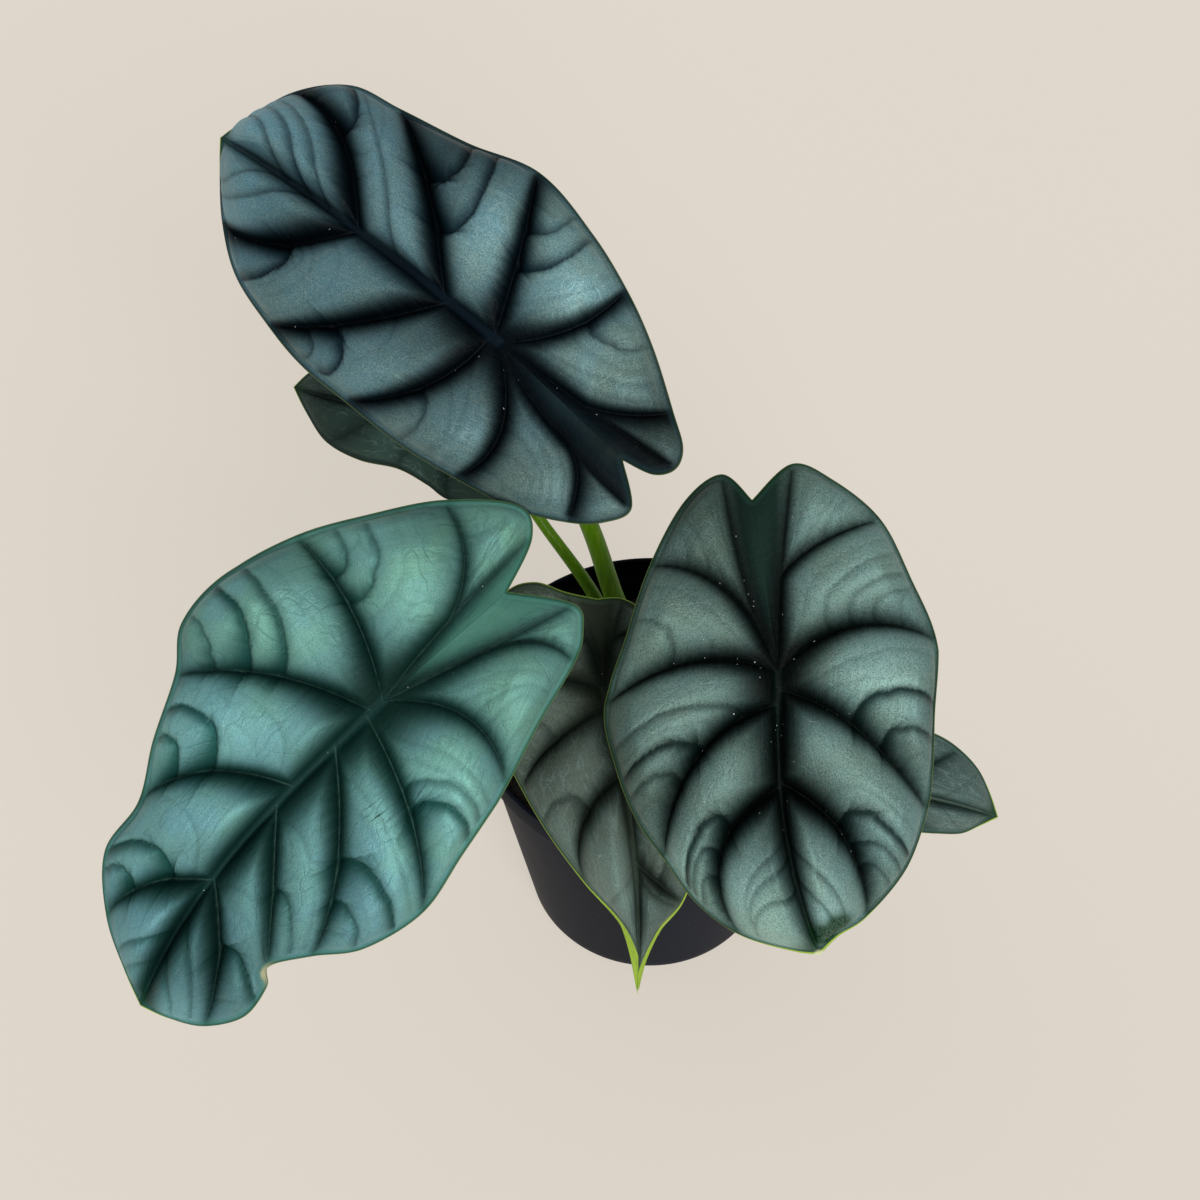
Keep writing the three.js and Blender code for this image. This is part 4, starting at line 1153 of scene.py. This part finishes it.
def blade_finish(name, look):
    """One finish for each shade of leaf, with the colours that look names."""
    material, shader, place = new_material(name)
    mark = {label: marking(place.tree, label) for label in MARKS}
    along = add(place.tree, "ShaderNodeUVMap", {"uv_map": "weave"})["UV"]
    grain = use(place, SKIN_GRAIN, Cells=2500.0, Clouds=60.0)
    lengthwise = maths("MAXIMUM", mark["spine"], maths("GREATER_THAN", mark["throat"], 0.01))
    skin = use(along, STREAKS, Near_Spine=lengthwise)
    colour = vein_colour(mark, look, skin, silver_colour(mark, look, grain, skin))
    # Painted light and shade: the colour is darkened towards black where the leaf's level is low.
    colour = blend(mark["pale"], BLACK, colour)
    colour = blend(ramp(skin["Streak"], 0.56, 0.6) * mark["scar"] * SCAR_DARK, colour, look["deep"])
    below = blend(ramp(mark["keel"], 0.1, 0.5), look["under"], look["under_rib"])
    share = mark["halo"] ** 4.0 * look["dust"] + STRAY_DUST
    coarse = use(place, DUST, Scale=360.0, Size=0.085, Share=share)["Specks"]
    fine = use(place, DUST, Scale=640.0, Size=0.11, Share=share)["Specks"]
    colour = layered(margin_colour(mark, look, grain, colour), (mark["under"], below),
                     (maths("MINIMUM", fine * 0.5 + coarse * 0.8, MOST_DUST), DUST_COLOUR))
    dark = mark["halo"]
    for label in ("shade", "throat", "under", "green"):
        dark = maths("MAXIMUM", dark, mark[label])
    metal = (dark * -look["sheen"] + look["sheen"]) * ramp(mark["edge"], 0.1, 0.4)
    feed(place.tree, shader.inputs["Metallic"], metal)
    rough = ramp(grain["Grain"], 0.3, 0.7, look["rough"] - 0.07, look["rough"] + 0.07)
    bumps = skin["Streak"] * 0.25 + grain["Grain"] + skin["Wrinkle"] * -0.5 + skin["Ripple"] * 1.6
    dress(shader, colour, rough, bumps, 0.6, LEAF_BUMP)
    shader.inputs["Specular IOR Level"].default_value = 0.05
    return material


# Painted light and shade in the looks: besides each leaf's own colours, the slate, teal and sage looks
# differ partly by how light falls on their leaves, the rear and low looks and in part the shade look are
# darkened with painted shade for leaves that stand under the others, the near black deep colour is partly
# painted shade of the creases, and the glint colour is a painted highlight.
COMMON = dict(
    painted_glint=(190, 212, 206), cord=(100, 140, 128), lime=(150, 178, 66),
    cream=(222, 226, 176), nick=(196, 190, 150), under=(92, 108, 84),
    under_rib=(128, 142, 104), outline=(14, 34, 26), throat_share=0.92, plateau=0.85,
    side_share=0.95, depth=0.97, spine_share=0.6, cord_share=0.3, band_share=0.6, hairline=0.3, painted_panel_shade=0.25,
    patch_reach=0.1, patch=(10, 50, 20), speckle=1.15, thread_share=0.3,
    wrinkle=(176, 206, 202), wrinkle_share=0.2,
    lime_reach=0.2, lime_width=0.03, point=0.004, nick_share=0.0, dust=0.03, rough=0.43, sheen=0.3)
LOOKS = {
    "blade_slate": dict(
        COMMON, silver=(118, 169, 183), silver_green=(129, 156, 143), shade=(16, 42, 54),
        deep=(1, 4, 8), throat=(8, 22, 23), spine=(14, 30, 42), band=(28, 48, 54),
        cord=(40, 60, 72), cord_share=0.2, hairline=0.15, speckle=0.9),
    "blade_teal": dict(
        COMMON, silver=(116, 170, 178), silver_green=(123, 180, 156), shade=(26, 78, 72),
        deep=(8, 36, 30), throat=(86, 148, 128), spine=(22, 58, 55), band=(58, 112, 98),
        cord=(92, 136, 126), throat_share=0.85, spine_share=0.75, cord_share=0.42, depth=0.93,
        nick_share=0.7, outline=(20, 58, 40), wrinkle=(26, 78, 72), wrinkle_share=0.17, speckle=0.45),
    "blade_sage": dict(
        COMMON, silver=(142, 187, 187), silver_green=(140, 174, 158), shade=(18, 46, 44),
        deep=(1, 6, 4), throat=(22, 60, 47), spine=(10, 30, 22), band=(32, 62, 50),
        cord=(50, 76, 50), cord_share=0.16, lime_reach=0.36,
        lime_width=0.055, point=0.022, dust=0.22, patch_reach=0.12, outline=(10, 34, 14)),
    "blade_shade": dict(
        COMMON, silver=(106, 130, 124), silver_green=(101, 113, 100), shade=(40, 52, 45),
        deep=(16, 22, 14), throat=(48, 56, 44), spine=(50, 62, 50), band=(62, 78, 62),
        cord=(70, 84, 70), lime_reach=0.75, lime_width=0.13, point=0.03, rough=0.46, sheen=0.12,
        depth=0.85, plateau=0.4, side_share=0.6, painted_panel_shade=0.2, nick_share=0.85, nick=(170, 190, 80),
        outline=(24, 50, 16), hairline=0.75, dust=0.05, speckle=0.4),
    "blade_rear": dict(
        COMMON, silver=(70, 102, 94), silver_green=(70, 98, 88), shade=(30, 42, 40),
        deep=(18, 28, 26), throat=(24, 32, 30), spine=(36, 50, 46), band=(40, 54, 50),
        depth=0.25, plateau=0.2, side_share=0.1, thread_share=0.1, cord_share=0.1, sheen=0.0,
        speckle=0.1, dust=0.0, rough=0.5, outline=(28, 40, 34)),
    "blade_low": dict(
        COMMON, silver=(88, 111, 109), silver_green=(84, 104, 96), shade=(54, 78, 72),
        deep=(24, 44, 40), throat=(40, 60, 54), spine=(110, 134, 122), band=(72, 98, 88),
        depth=0.6, plateau=0.4, spine_share=0.8, side_share=0.4, sheen=0.15, speckle=0.4),
}
BLADES = dict(upper=("blade_slate", "blade_slate"), low=("blade_low", "blade_slate"),
              left=("blade_teal", "blade_teal"), right=("blade_sage", "blade_sage"),
              rear=("blade_rear", "blade_shade"), front=("blade_shade", "blade_shade"))

# %% [markdown]
# Each blade is now made from its plan and gets the finish that suits it. Two leaves stand
# in deep shade in the photo, so they have a duller finish of their own, though in the packed
# model they belong to the slate and the shade leaves.

# %% Make the six blades
FINISHES = {look: blade_finish(look, colours) for look, colours in LOOKS.items()}
print("nodes in a leaf's finish:", len(FINISHES["blade_teal"].node_tree.nodes))
for seed, (name, leaf) in enumerate(LEAVES.items(), 1):
    look, slot = BLADES[name]
    plans = [HALVES[name, side] for side in ("left", "right")]
    blade = blade_mesh(f"leaf_{name}", leaf, plans, seed)
    piece(f"leaf_{name}", blade, FINISHES[look], slot, f"blade_{name}")

# %% [markdown]
# A stalk is a smooth tapering rod that rises from the mix, leans out and turns up square
# into its leaf's navel. Near its foot it is wrapped in its own sheath, a pair of thin
# wings round a groove. It could be a curve with a bevel, but a section that changes its
# shape on the way up is easier to write as a surface: a ring carried along a path.

# %% Stalks
STALKS = {
    "upper": dict(foot=(2, 5), via=[(-13, 8.5, 148), (-21, 12, 180)], base=4, top=2.3),
    "rear": dict(foot=(-6, 7), via=[(-19, 12.5, 143), (-36.5, 24, 168.5)], base=3, top=1.4),
    "left": dict(foot=(-10.5, -2.5), via=[(-40, -12, 134), (-66, -33, 170)], base=4, top=2.3),
    "right": dict(foot=(8.5, -3.5), via=[(20, -10, 128), (32, -29, 162)], base=4, top=2.3),
    "front": dict(foot=(-2, -7.5), via=[(-6, -13, 116), (-12, -21, 138)], base=3.4, top=1.8),
    "low": dict(foot=(13.5, 5), via=[(27, -3, 113), (45, -22, 120)], base=2.8, top=1.5),
}
SOIL_TOP, STALK_DEPTH = 91, 14
STALK_SEAT = 2.9  # from the navel down to where the stalk's own round end stands
SHEATH_SHARE = 0.42  # how far up a stalk its sheath reaches
LIP_AT = 0.42  # where round the stalk the sheath's lips stand, in radians from its groove
GROOVE_IN, LIPS_OUT = 0.32, 0.12  # how far the section goes in and out there, as shares of its radius
FLARE, FLARE_LENGTH = 0.5, 5  # the stalk widens by this share over its last millimetres
RIDGES, RIDGE_HEIGHT = 9, 0.012
STALK_RINGS, STALK_SIDES = 150, 32


def smooth_path(points, steps):
    """A curve through the points whose speed on each stretch goes with the square root of
    its length, cut again into equal steps."""
    points = np.array(points, float)
    ends = np.concatenate([[2 * points[0] - points[1]], points, [2 * points[-1] - points[-2]]])
    gaps = np.linalg.norm(np.diff(ends, axis=0), axis=1) ** 0.5
    found = []
    for k in range(len(points) - 1):
        a, b, c, d = ends[k:k + 4]
        g0, g1, g2 = gaps[k:k + 3]
        out = ((b - a) / g0 - (c - a) / (g0 + g1) + (c - b) / g1) * g1
        into = ((c - b) / g1 - (d - b) / (g1 + g2) + (d - c) / g2) * g1
        s = np.linspace(0, 1, 40, endpoint=False)[:, None]
        found.append(b + s * out + s ** 2 * (3 * (c - b) - 2 * out - into)
                     + s ** 3 * (2 * (b - c) + out + into))
    line = np.concatenate([*found, points[-1:]])
    run = np.concatenate([[0], np.cumsum(np.linalg.norm(np.diff(line, axis=0), axis=1))])
    at = np.linspace(0, run[-1], steps)
    return np.stack([np.interp(at, run, line[:, k]) for k in range(3)], 1), run[-1]


def carried_frames(line):
    """For each point of a line its direction and two sides square to it, each side carried
    on from the last with as little twist as possible."""
    tangent = np.gradient(line, axis=0)
    tangent /= np.linalg.norm(tangent, axis=1)[:, None]
    side = np.array([1.0, 0, 0])
    sides = []
    for direction in tangent:
        side = side - direction * (side @ direction)
        side = side / np.linalg.norm(side)
        sides.append(side)
    sides = np.array(sides)
    return tangent, sides, np.cross(tangent, sides)


def stalk_mesh(name, stalk, leaf):
    """Rings of a tapering radius. In the sheath the section is drawn in on one side by a
    groove that fades out upwards, and its lips stand a little proud."""
    up = axes_of(leaf)[2]
    navel = np.array(leaf["navel"], float)
    x, y = stalk["foot"]
    points = [(x, y, SOIL_TOP - STALK_DEPTH), (x, y, SOIL_TOP), (x, y, SOIL_TOP + 8), *stalk["via"],
              navel - up * (STALK_SEAT + 9), navel - up * STALK_SEAT, navel - up * 0.9]
    line, length = smooth_path(points, STALK_RINGS)
    s = np.linspace(0, 1, len(line))[:, None]
    start = STALK_DEPTH / length
    taper = np.minimum(1, np.maximum(0, s - start) * 1.15) ** 0.7
    radius = stalk["base"] + (stalk["top"] - stalk["base"]) * taper
    angle = np.linspace(0, 2 * np.pi, STALK_SIDES, endpoint=False)[None]
    facing = math.atan2(y, x) + math.pi
    off = (angle - facing + np.pi) % (2 * np.pi) - np.pi
    sheath = 1 - ease(s, SHEATH_SHARE * 0.35, SHEATH_SHARE)
    lip = np.exp(-((np.abs(off) - LIP_AT) / 0.16) ** 2)
    groove = LIPS_OUT * lip - GROOVE_IN * np.exp(-(off / 0.22) ** 2)
    flare = FLARE * ease(s, 1 - FLARE_LENGTH / length, 1)
    around = radius * (1 + sheath * groove + flare + RIDGE_HEIGHT * np.sin(RIDGES * angle + 3 * s))
    tangent, side, other = carried_frames(line)
    ring = (line[:, None] + (around * np.cos(angle))[..., None] * side[:, None]
            + (around * np.sin(angle))[..., None] * other[:, None])
    points = np.concatenate([ring.reshape(-1, 3), line[:1], line[-1:]])
    turn, top_row = np.arange(STALK_SIDES), (STALK_RINGS - 1) * STALK_SIDES
    faces = [grid_faces(STALK_RINGS, STALK_SIDES, wrap=True), cap(len(points) - 2, turn[::-1]),
             cap(len(points) - 1, top_row + turn)]
    climb = np.concatenate([np.repeat(s[:, 0], STALK_SIDES), [0, 1]])
    lips = np.concatenate([(sheath * np.exp(-((np.abs(off) - LIP_AT) / 0.12) ** 2)).ravel(), [0, 0]])
    return mesh_from(name, points, faces, dict(climb=climb, lips=lips))


def stalk_finish():
    """Lime green and satin, paler up the stalk, with fine lengthwise lines and a thin dry
    brown edge on the sheath."""
    material, shader, place = new_material("stalk")
    grain = use(place, SKIN_GRAIN, Cells=1500.0, Clouds=90.0)
    lines = noise(stretched(place, 900, 900, 40), 1.0, Detail=2.0)
    colour = layered(
        blend(marking(place.tree, "climb"), (42, 84, 0), (92, 134, 0)),
        (ramp(grain["Cloud"], 0.4, 0.7, 0.0, 0.4), (66, 112, 0)),
        (ramp(lines, 0.45, 0.7, 0.0, 0.25), (124, 156, 20)),
        (marking(place.tree, "lips") * 0.7, (120, 96, 60)))
    dress(shader, colour, ramp(grain["Grain"], 0.3, 0.7, 0.34, 0.46), lines, 0.3, 0.0002)
    shader.inputs["Specular IOR Level"].default_value = 0.14
    shader.inputs["Subsurface Weight"].default_value = 0.12
    shader.inputs["Subsurface Radius"].default_value = (0.002, 0.003, 0.001)
    shader.inputs["Subsurface Scale"].default_value = 0.5
    return material


STALK_FINISH = stalk_finish()
for name, stalk in STALKS.items():
    mesh = stalk_mesh(f"stem_{name}", stalk, LEAVES[name])
    piece(f"stem_{name}", mesh, STALK_FINISH, "stalk", f"stalk_{name}")
    print("stem", name, "faces", len(mesh.polygons))

# %% [markdown]
# The pot is thin moulded plastic: a tapered wall, a stepped collar with a rounded lip and a
# foot with drain holes. A mould turns such a shape, so here a profile is turned too. Only
# the floor is not round, because of its holes, so each of its eight sectors is a small
# surface of its own, drawn from the circle of its hole out to the sector's outline.

# %% Pot
POT_HEIGHT, RIM_RADIUS, BASE_RADIUS, POT_WALL = 106, 60, 43, 1.6
COLLAR_HEIGHT, COLLAR_STEP, POT_FLOOR = 9, 2.6, 2.4
WALL_TOP = RIM_RADIUS - COLLAR_STEP
COLLAR_FOOT = POT_HEIGHT - COLLAR_HEIGHT
DRAIN_HOLES, DRAIN_RADIUS, DRAIN_RING = 8, 4.5, 29
SECTOR = (20, 38)  # inner and outer radius of the part of the floor that holds the holes
POT_SIDES = 192
UNDERSIDE = 0.8  # the floor's underside stands this far above the foot ring


def wall_radius(z):
    """The outer wall widens evenly from the base to the collar."""
    return BASE_RADIUS + (WALL_TOP - BASE_RADIUS) * np.minimum(z / COLLAR_FOOT, 1)


def arc(centre, radius, start, end, steps):
    """Points of an arc in the profile's plane, from one angle to another in degrees."""
    turn = np.radians(np.linspace(start, end, steps))
    return [(centre[0] + radius * math.cos(a), centre[1] + radius * math.sin(a)) for a in turn]


def pot_profile():
    """Radius and height from the edge of the outer floor up the wall, over the lip and down
    inside to the edge of the inner floor."""
    outer = [(SECTOR[1], UNDERSIDE), (SECTOR[1] + 0.8, UNDERSIDE),
             *arc((40.4, UNDERSIDE), 0.8, 180, 270, 5),
             *arc((BASE_RADIUS - 1.5, 1.5), 1.5, 270, 355, 7)]
    wall = [(wall_radius(z), z) for z in np.linspace(2, COLLAR_FOOT - 1.2, 30)]
    step = [(WALL_TOP - 0.1, COLLAR_FOOT - 0.5), (WALL_TOP + 0.3, COLLAR_FOOT - 0.1),
            *arc((RIM_RADIUS - 0.9, COLLAR_FOOT + 0.9), 0.9, 270, 360, 6)]
    lip = [(RIM_RADIUS, COLLAR_FOOT + 4), *arc((RIM_RADIUS - 0.8, POT_HEIGHT - 0.8), 0.8, 0, 180, 10)]
    inside = RIM_RADIUS - POT_WALL
    inner = [(inside, COLLAR_FOOT + 2.2), (inside - 0.5, COLLAR_FOOT + 1.2),
             (WALL_TOP - POT_WALL + 0.2, COLLAR_FOOT), (WALL_TOP - POT_WALL, COLLAR_FOOT - 1)]
    down = [(wall_radius(z) - POT_WALL, z) for z in np.linspace(COLLAR_FOOT - 3, POT_FLOOR + 1, 12)]
    return np.array([*outer, *wall, *step, *lip, *inner, *down,
                     (wall_radius(POT_FLOOR) - POT_WALL - 1, POT_FLOOR), (SECTOR[1], POT_FLOOR)])


def sector_rings(steps):
    """A hole's circle and its sector's outline as two closed rings of the same count, so
    that a straight line joins each point of one to its point on the other."""
    half, (inner, outer) = math.pi / DRAIN_HOLES, SECTOR
    sweep = np.linspace(-half, half, steps, endpoint=False)
    reach = np.linspace(0, 1, steps // 2, endpoint=False)
    level = 0 * sweep
    radius = np.concatenate([level + outer, outer + (inner - outer) * reach,
                             level + inner, inner + (outer - inner) * reach])
    angle = np.concatenate([sweep, 0 * reach + half, -sweep, 0 * reach - half])
    outline = radius[:, None] * np.stack([np.cos(angle), np.sin(angle)], 1)
    away = outline - np.array([DRAIN_RING, 0])
    circle = np.array([DRAIN_RING, 0]) + DRAIN_RADIUS * away / np.linalg.norm(away, axis=1)[:, None]
    return circle, outline


def pot_mesh():
    """The turned wall, then the floor's sectors above and below with the holes' walls, and
    a round patch in the middle. Points that meet are merged."""
    profile, sides = pot_profile(), circle_of(POT_SIDES)
    wall = lifted(profile[:, None, :1] * sides, profile[:, None, 1:])
    points, faces = [wall.reshape(-1, 3)], [grid_faces(len(profile), POT_SIDES, wrap=True)]
    count = len(points[0])
    circle, outline = sector_rings(POT_SIDES // DRAIN_HOLES)
    share = np.array([0, 0.25, 0.6, 1.0])[:, None, None]
    rings = circle * (1 - share) + outline * share
    layers = np.concatenate([lifted(rings[::-1], UNDERSIDE), lifted(rings, POT_FLOOR)])
    for k in range(DRAIN_HOLES):
        spin = turns_about((0, 0, 1), 2 * math.pi * (k + 0.5) / DRAIN_HOLES)[..., 0]
        points.append(layers.reshape(-1, 3) @ spin.T)
        faces.append(grid_faces(len(layers), layers.shape[1], wrap=True, offset=count))
        count += len(points[-1])
    radii = np.linspace(0, SECTOR[0], 4)[1:, None, None]
    for z, turned in ((UNDERSIDE, -1), (POT_FLOOR, 1)):
        disc = lifted(radii * sides[::turned], z)
        points += [disc.reshape(-1, 3), np.array([[0, 0, z]])]
        middle = count + 3 * POT_SIDES
        faces += [grid_faces(3, POT_SIDES, wrap=True, offset=count)[:, ::-1],
                  cap(middle, count + np.arange(POT_SIDES))]
        count = middle + 1
    points = np.concatenate(points)
    first, group = same_places(np.round(points, 3))
    quads, threes = [group[np.concatenate([f for f in faces if f.shape[1] == corners])]
                     for corners in (4, 3)]
    points = points[first]
    away, z = np.hypot(points[:, 0], points[:, 1]), points[:, 2]
    # inside marks the inner wall and the floor, where the finish paints shade
    inside = away < np.where(z > COLLAR_FOOT, RIM_RADIUS - 1, wall_radius(z) - POT_WALL / 2)
    return mesh_from("nursery_pot", points, [quads, threes], dict(inside=inside & (z > POT_FLOOR - 0.1)))


def pot_finish():
    """Matt black plastic: a fine pebbled skin, faint cloudy wear and a little pale dust, with
    painted shade, near black, over the inside of the wall and the floor.
    """
    material, shader, place = new_material("matte_black_plastic")
    grain = use(place, SKIN_GRAIN, Cells=1400.0, Clouds=22.0)
    specks = use(place, DUST, Scale=330.0, Size=0.09, Share=0.05)["Specks"]
    colour = layered(
        blend(ramp(grain["Cloud"], 0.35, 0.7), (11, 16, 27), (19, 24, 36)),
        (specks * 0.5, (130, 124, 114)),
        # painted shade: the inside of the pot is darkened to near black
        (marking(place.tree, "inside") * 0.9, (4, 5, 7)))
    dress(shader, colour, grain["Cloud"] * 0.2 + 0.42, grain["Grain"], 0.3, 0.0002)
    shader.inputs["Specular IOR Level"].default_value = 0.05
    return material


pot = piece("nursery_pot", pot_mesh(), pot_finish(), "pot", "pot")
print("pot faces", len(pot.data.polygons))

# %% [markdown]
# The pot is filled nearly to its collar with a loose aroid mix of fine bark, coir and
# crumbs. The bed is a round grid with a bumpy top, and some four hundred chips lie on it,
# each a dented box of a few faces turned at random, all in one mesh.

# %% Potting mix
LUMPS, CRUMBS, FINE_CRUMBS = 1.1, 0.5, 0.25  # heights
BED_RINGS, BED_SIDES = 70, 220
BED_DIP, BED_DIP_REACH = 1.6, 1.5  # the mix settles beside the wall
CHIP_COUNT, CHIPS_WITHIN = 420, 52
CHIP_SIZES = ((0.9, 0.5, 0.3), (3.2, 1.5, 0.9))  # half lengths of the smallest and the largest


def soil_height(x, y):
    """Low lumps a few centimetres apart, with crumbs on them."""
    lumps = (np.sin(x * 0.31 + 1.7) * np.sin(y * 0.27 - 0.6) + 0.6 * np.sin(x * 0.62 - y * 0.41)
             + 0.4 * np.sin(y * 0.83 + x * 0.19 + 2))
    crumbs = CRUMBS * wobble(x / 2.1 + 9, y / 2.1 + 3, 21) + FINE_CRUMBS * wobble(x + 5, y + 5, 22)
    return SOIL_TOP + LUMPS * lumps + crumbs


def soil_mesh():
    """A round grid for the top, drawn down at the wall and closed below."""
    inner = lambda z: wall_radius(z) - POT_WALL - 0.4
    floor, ledge = POT_FLOOR + 0.3, SOIL_TOP - 3.2
    radius = np.linspace(inner(SOIL_TOP) - 0.2, 0.6, BED_RINGS)[:, None, None]
    flat = radius * circle_of(BED_SIDES)
    dip = BED_DIP * np.exp(-(inner(SOIL_TOP) - radius) / BED_DIP_REACH)
    top = lifted(flat, soil_height(*flat.transpose(2, 0, 1))[..., None] - dip)
    heights = np.array([floor, ledge])[:, None, None]
    grid = np.concatenate([lifted(inner(heights) * circle_of(BED_SIDES), heights), top])
    points = np.concatenate([grid.reshape(-1, 3), [[0, 0, floor]], [[0, 0, soil_height(0.0, 0.0)]]])
    turn, last = np.arange(BED_SIDES), (len(grid) - 1) * BED_SIDES
    faces = [grid_faces(len(grid), BED_SIDES, wrap=True), cap(len(points) - 2, turn[::-1]),
             cap(len(points) - 1, last + turn)]
    return mesh_from("potting_bed", points, faces)


def chips_mesh():
    """A chip is a cube's eight corners, dented, then stretched, turned by three random
    angles and sunk a little into the bed; all chips are worked out together."""
    corner = np.array([[x, y, z] for x in (-1, 1) for y in (-1, 1) for z in (-1, 1)], float)
    quads = np.array([[0, 1, 3, 2], [4, 6, 7, 5], [0, 4, 5, 1], [2, 3, 7, 6], [0, 2, 6, 4], [1, 5, 7, 3]])
    count = CHIP_COUNT
    size = rng.uniform(*CHIP_SIZES, (count, 3)) * rng.uniform(0.5, 1, (count, 1))
    shapes = corner * rng.uniform(0.55, 1, (count, 8, 3)) * size[:, None]
    yaw, pitch, roll = rng.uniform(-1, 1, (3, count)) * np.array([[np.pi], [0.5], [0.5]])
    turns = [turns_about(axis, angle) for axis, angle in zip(np.eye(3)[::-1], (yaw, pitch, roll))]
    shapes = np.einsum("abn,bcn,cdn,nkd->nka", *turns, shapes)
    away, angle = CHIPS_WITHIN * np.sqrt(rng.uniform(0, 1, count)), rng.uniform(0, 2 * np.pi, count)
    x, y = away * np.cos(angle), away * np.sin(angle)
    shapes += np.stack([x, y, soil_height(x, y) + 0.35 * size[:, 2]], 1)[:, None]
    faces = (quads[None] + 8 * np.arange(count)[:, None, None]).reshape(-1, 4)
    return mesh_from("bark_chips", shapes.reshape(-1, 3), [faces])


def soil_finish(name, dark, light):
    """Damp bark and coir: brown crumbs of several shades, rough all over."""
    material, shader, place = new_material(name)
    crumbs = add(place.tree, "ShaderNodeTexVoronoi", Vector=place, Scale=520.0)
    grain = use(place, SKIN_GRAIN, Cells=1800.0, Clouds=240.0)
    draw = add(place.tree, "ShaderNodeSeparateColor", Color=crumbs["Color"])["Red"]
    colour = blend(ramp(grain["Cloud"], 0.4, 0.7), blend(draw, dark, light), dark)
    rough = ramp(grain["Grain"], 0.3, 0.7, 0.75, 0.95)
    dress(shader, colour, rough, crumbs["Distance"] + grain["Grain"], 0.7, 0.0006)
    return material


bed = piece("potting_bed", soil_mesh(), soil_finish("damp_mix", (18, 14, 11), (52, 40, 30)),
            "potting_mix", "potting_mix")
chips = piece("bark_chips", chips_mesh(), soil_finish("bark", (44, 30, 22), (104, 76, 52)),
              "potting_mix")
print("bed faces", len(bed.data.polygons), "chip faces", len(chips.data.polygons))

# %% [markdown]
# The floor is a plain pale sheet, far larger than the picture. It belongs to the stage and
# not to the plant, so it is marked as such.

# %% Floor
FLOOR_REACH = 3000  # from the pot to the middle of each side


def floor_piece():
    """A flat square of six metres with a slightly uneven matt paint."""
    corners = FLOOR_REACH * np.array([[-1, -1, 0], [1, -1, 0], [1, 1, 0], [-1, 1, 0]], float)
    mesh = mesh_from("floor", corners, [np.array([[0, 1, 2, 3]])])
    material, shader, place = new_material("pale_floor")
    cloud = noise(place, 3.0, Detail=2.0)
    feed(place.tree, shader.inputs["Base Color"], blend(cloud, FLOOR_COLOUR, FLOOR_PALER))
    shader.inputs["Roughness"].default_value = 0.9
    shader.inputs["Emission Color"].default_value = (*linear(*FLOOR_COLOUR), 1)
    shader.inputs["Emission Strength"].default_value = FLOOR_GLOW
    shader.inputs["Specular IOR Level"].default_value = 0.1
    mesh.materials.append(material)
    floor = bpy.data.objects.new("floor", mesh)
    bpy.context.scene.collection.objects.link(floor)
    floor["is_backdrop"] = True
    return floor


print("floor", floor_piece().name)

# %% [markdown]
# Last, the size of the finished model is set beside the size of the frame, in metres.

# %% Sizes and finish
size_of_model = [list(corner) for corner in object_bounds()]
print("frame", size_of_frame, "model", size_of_model)
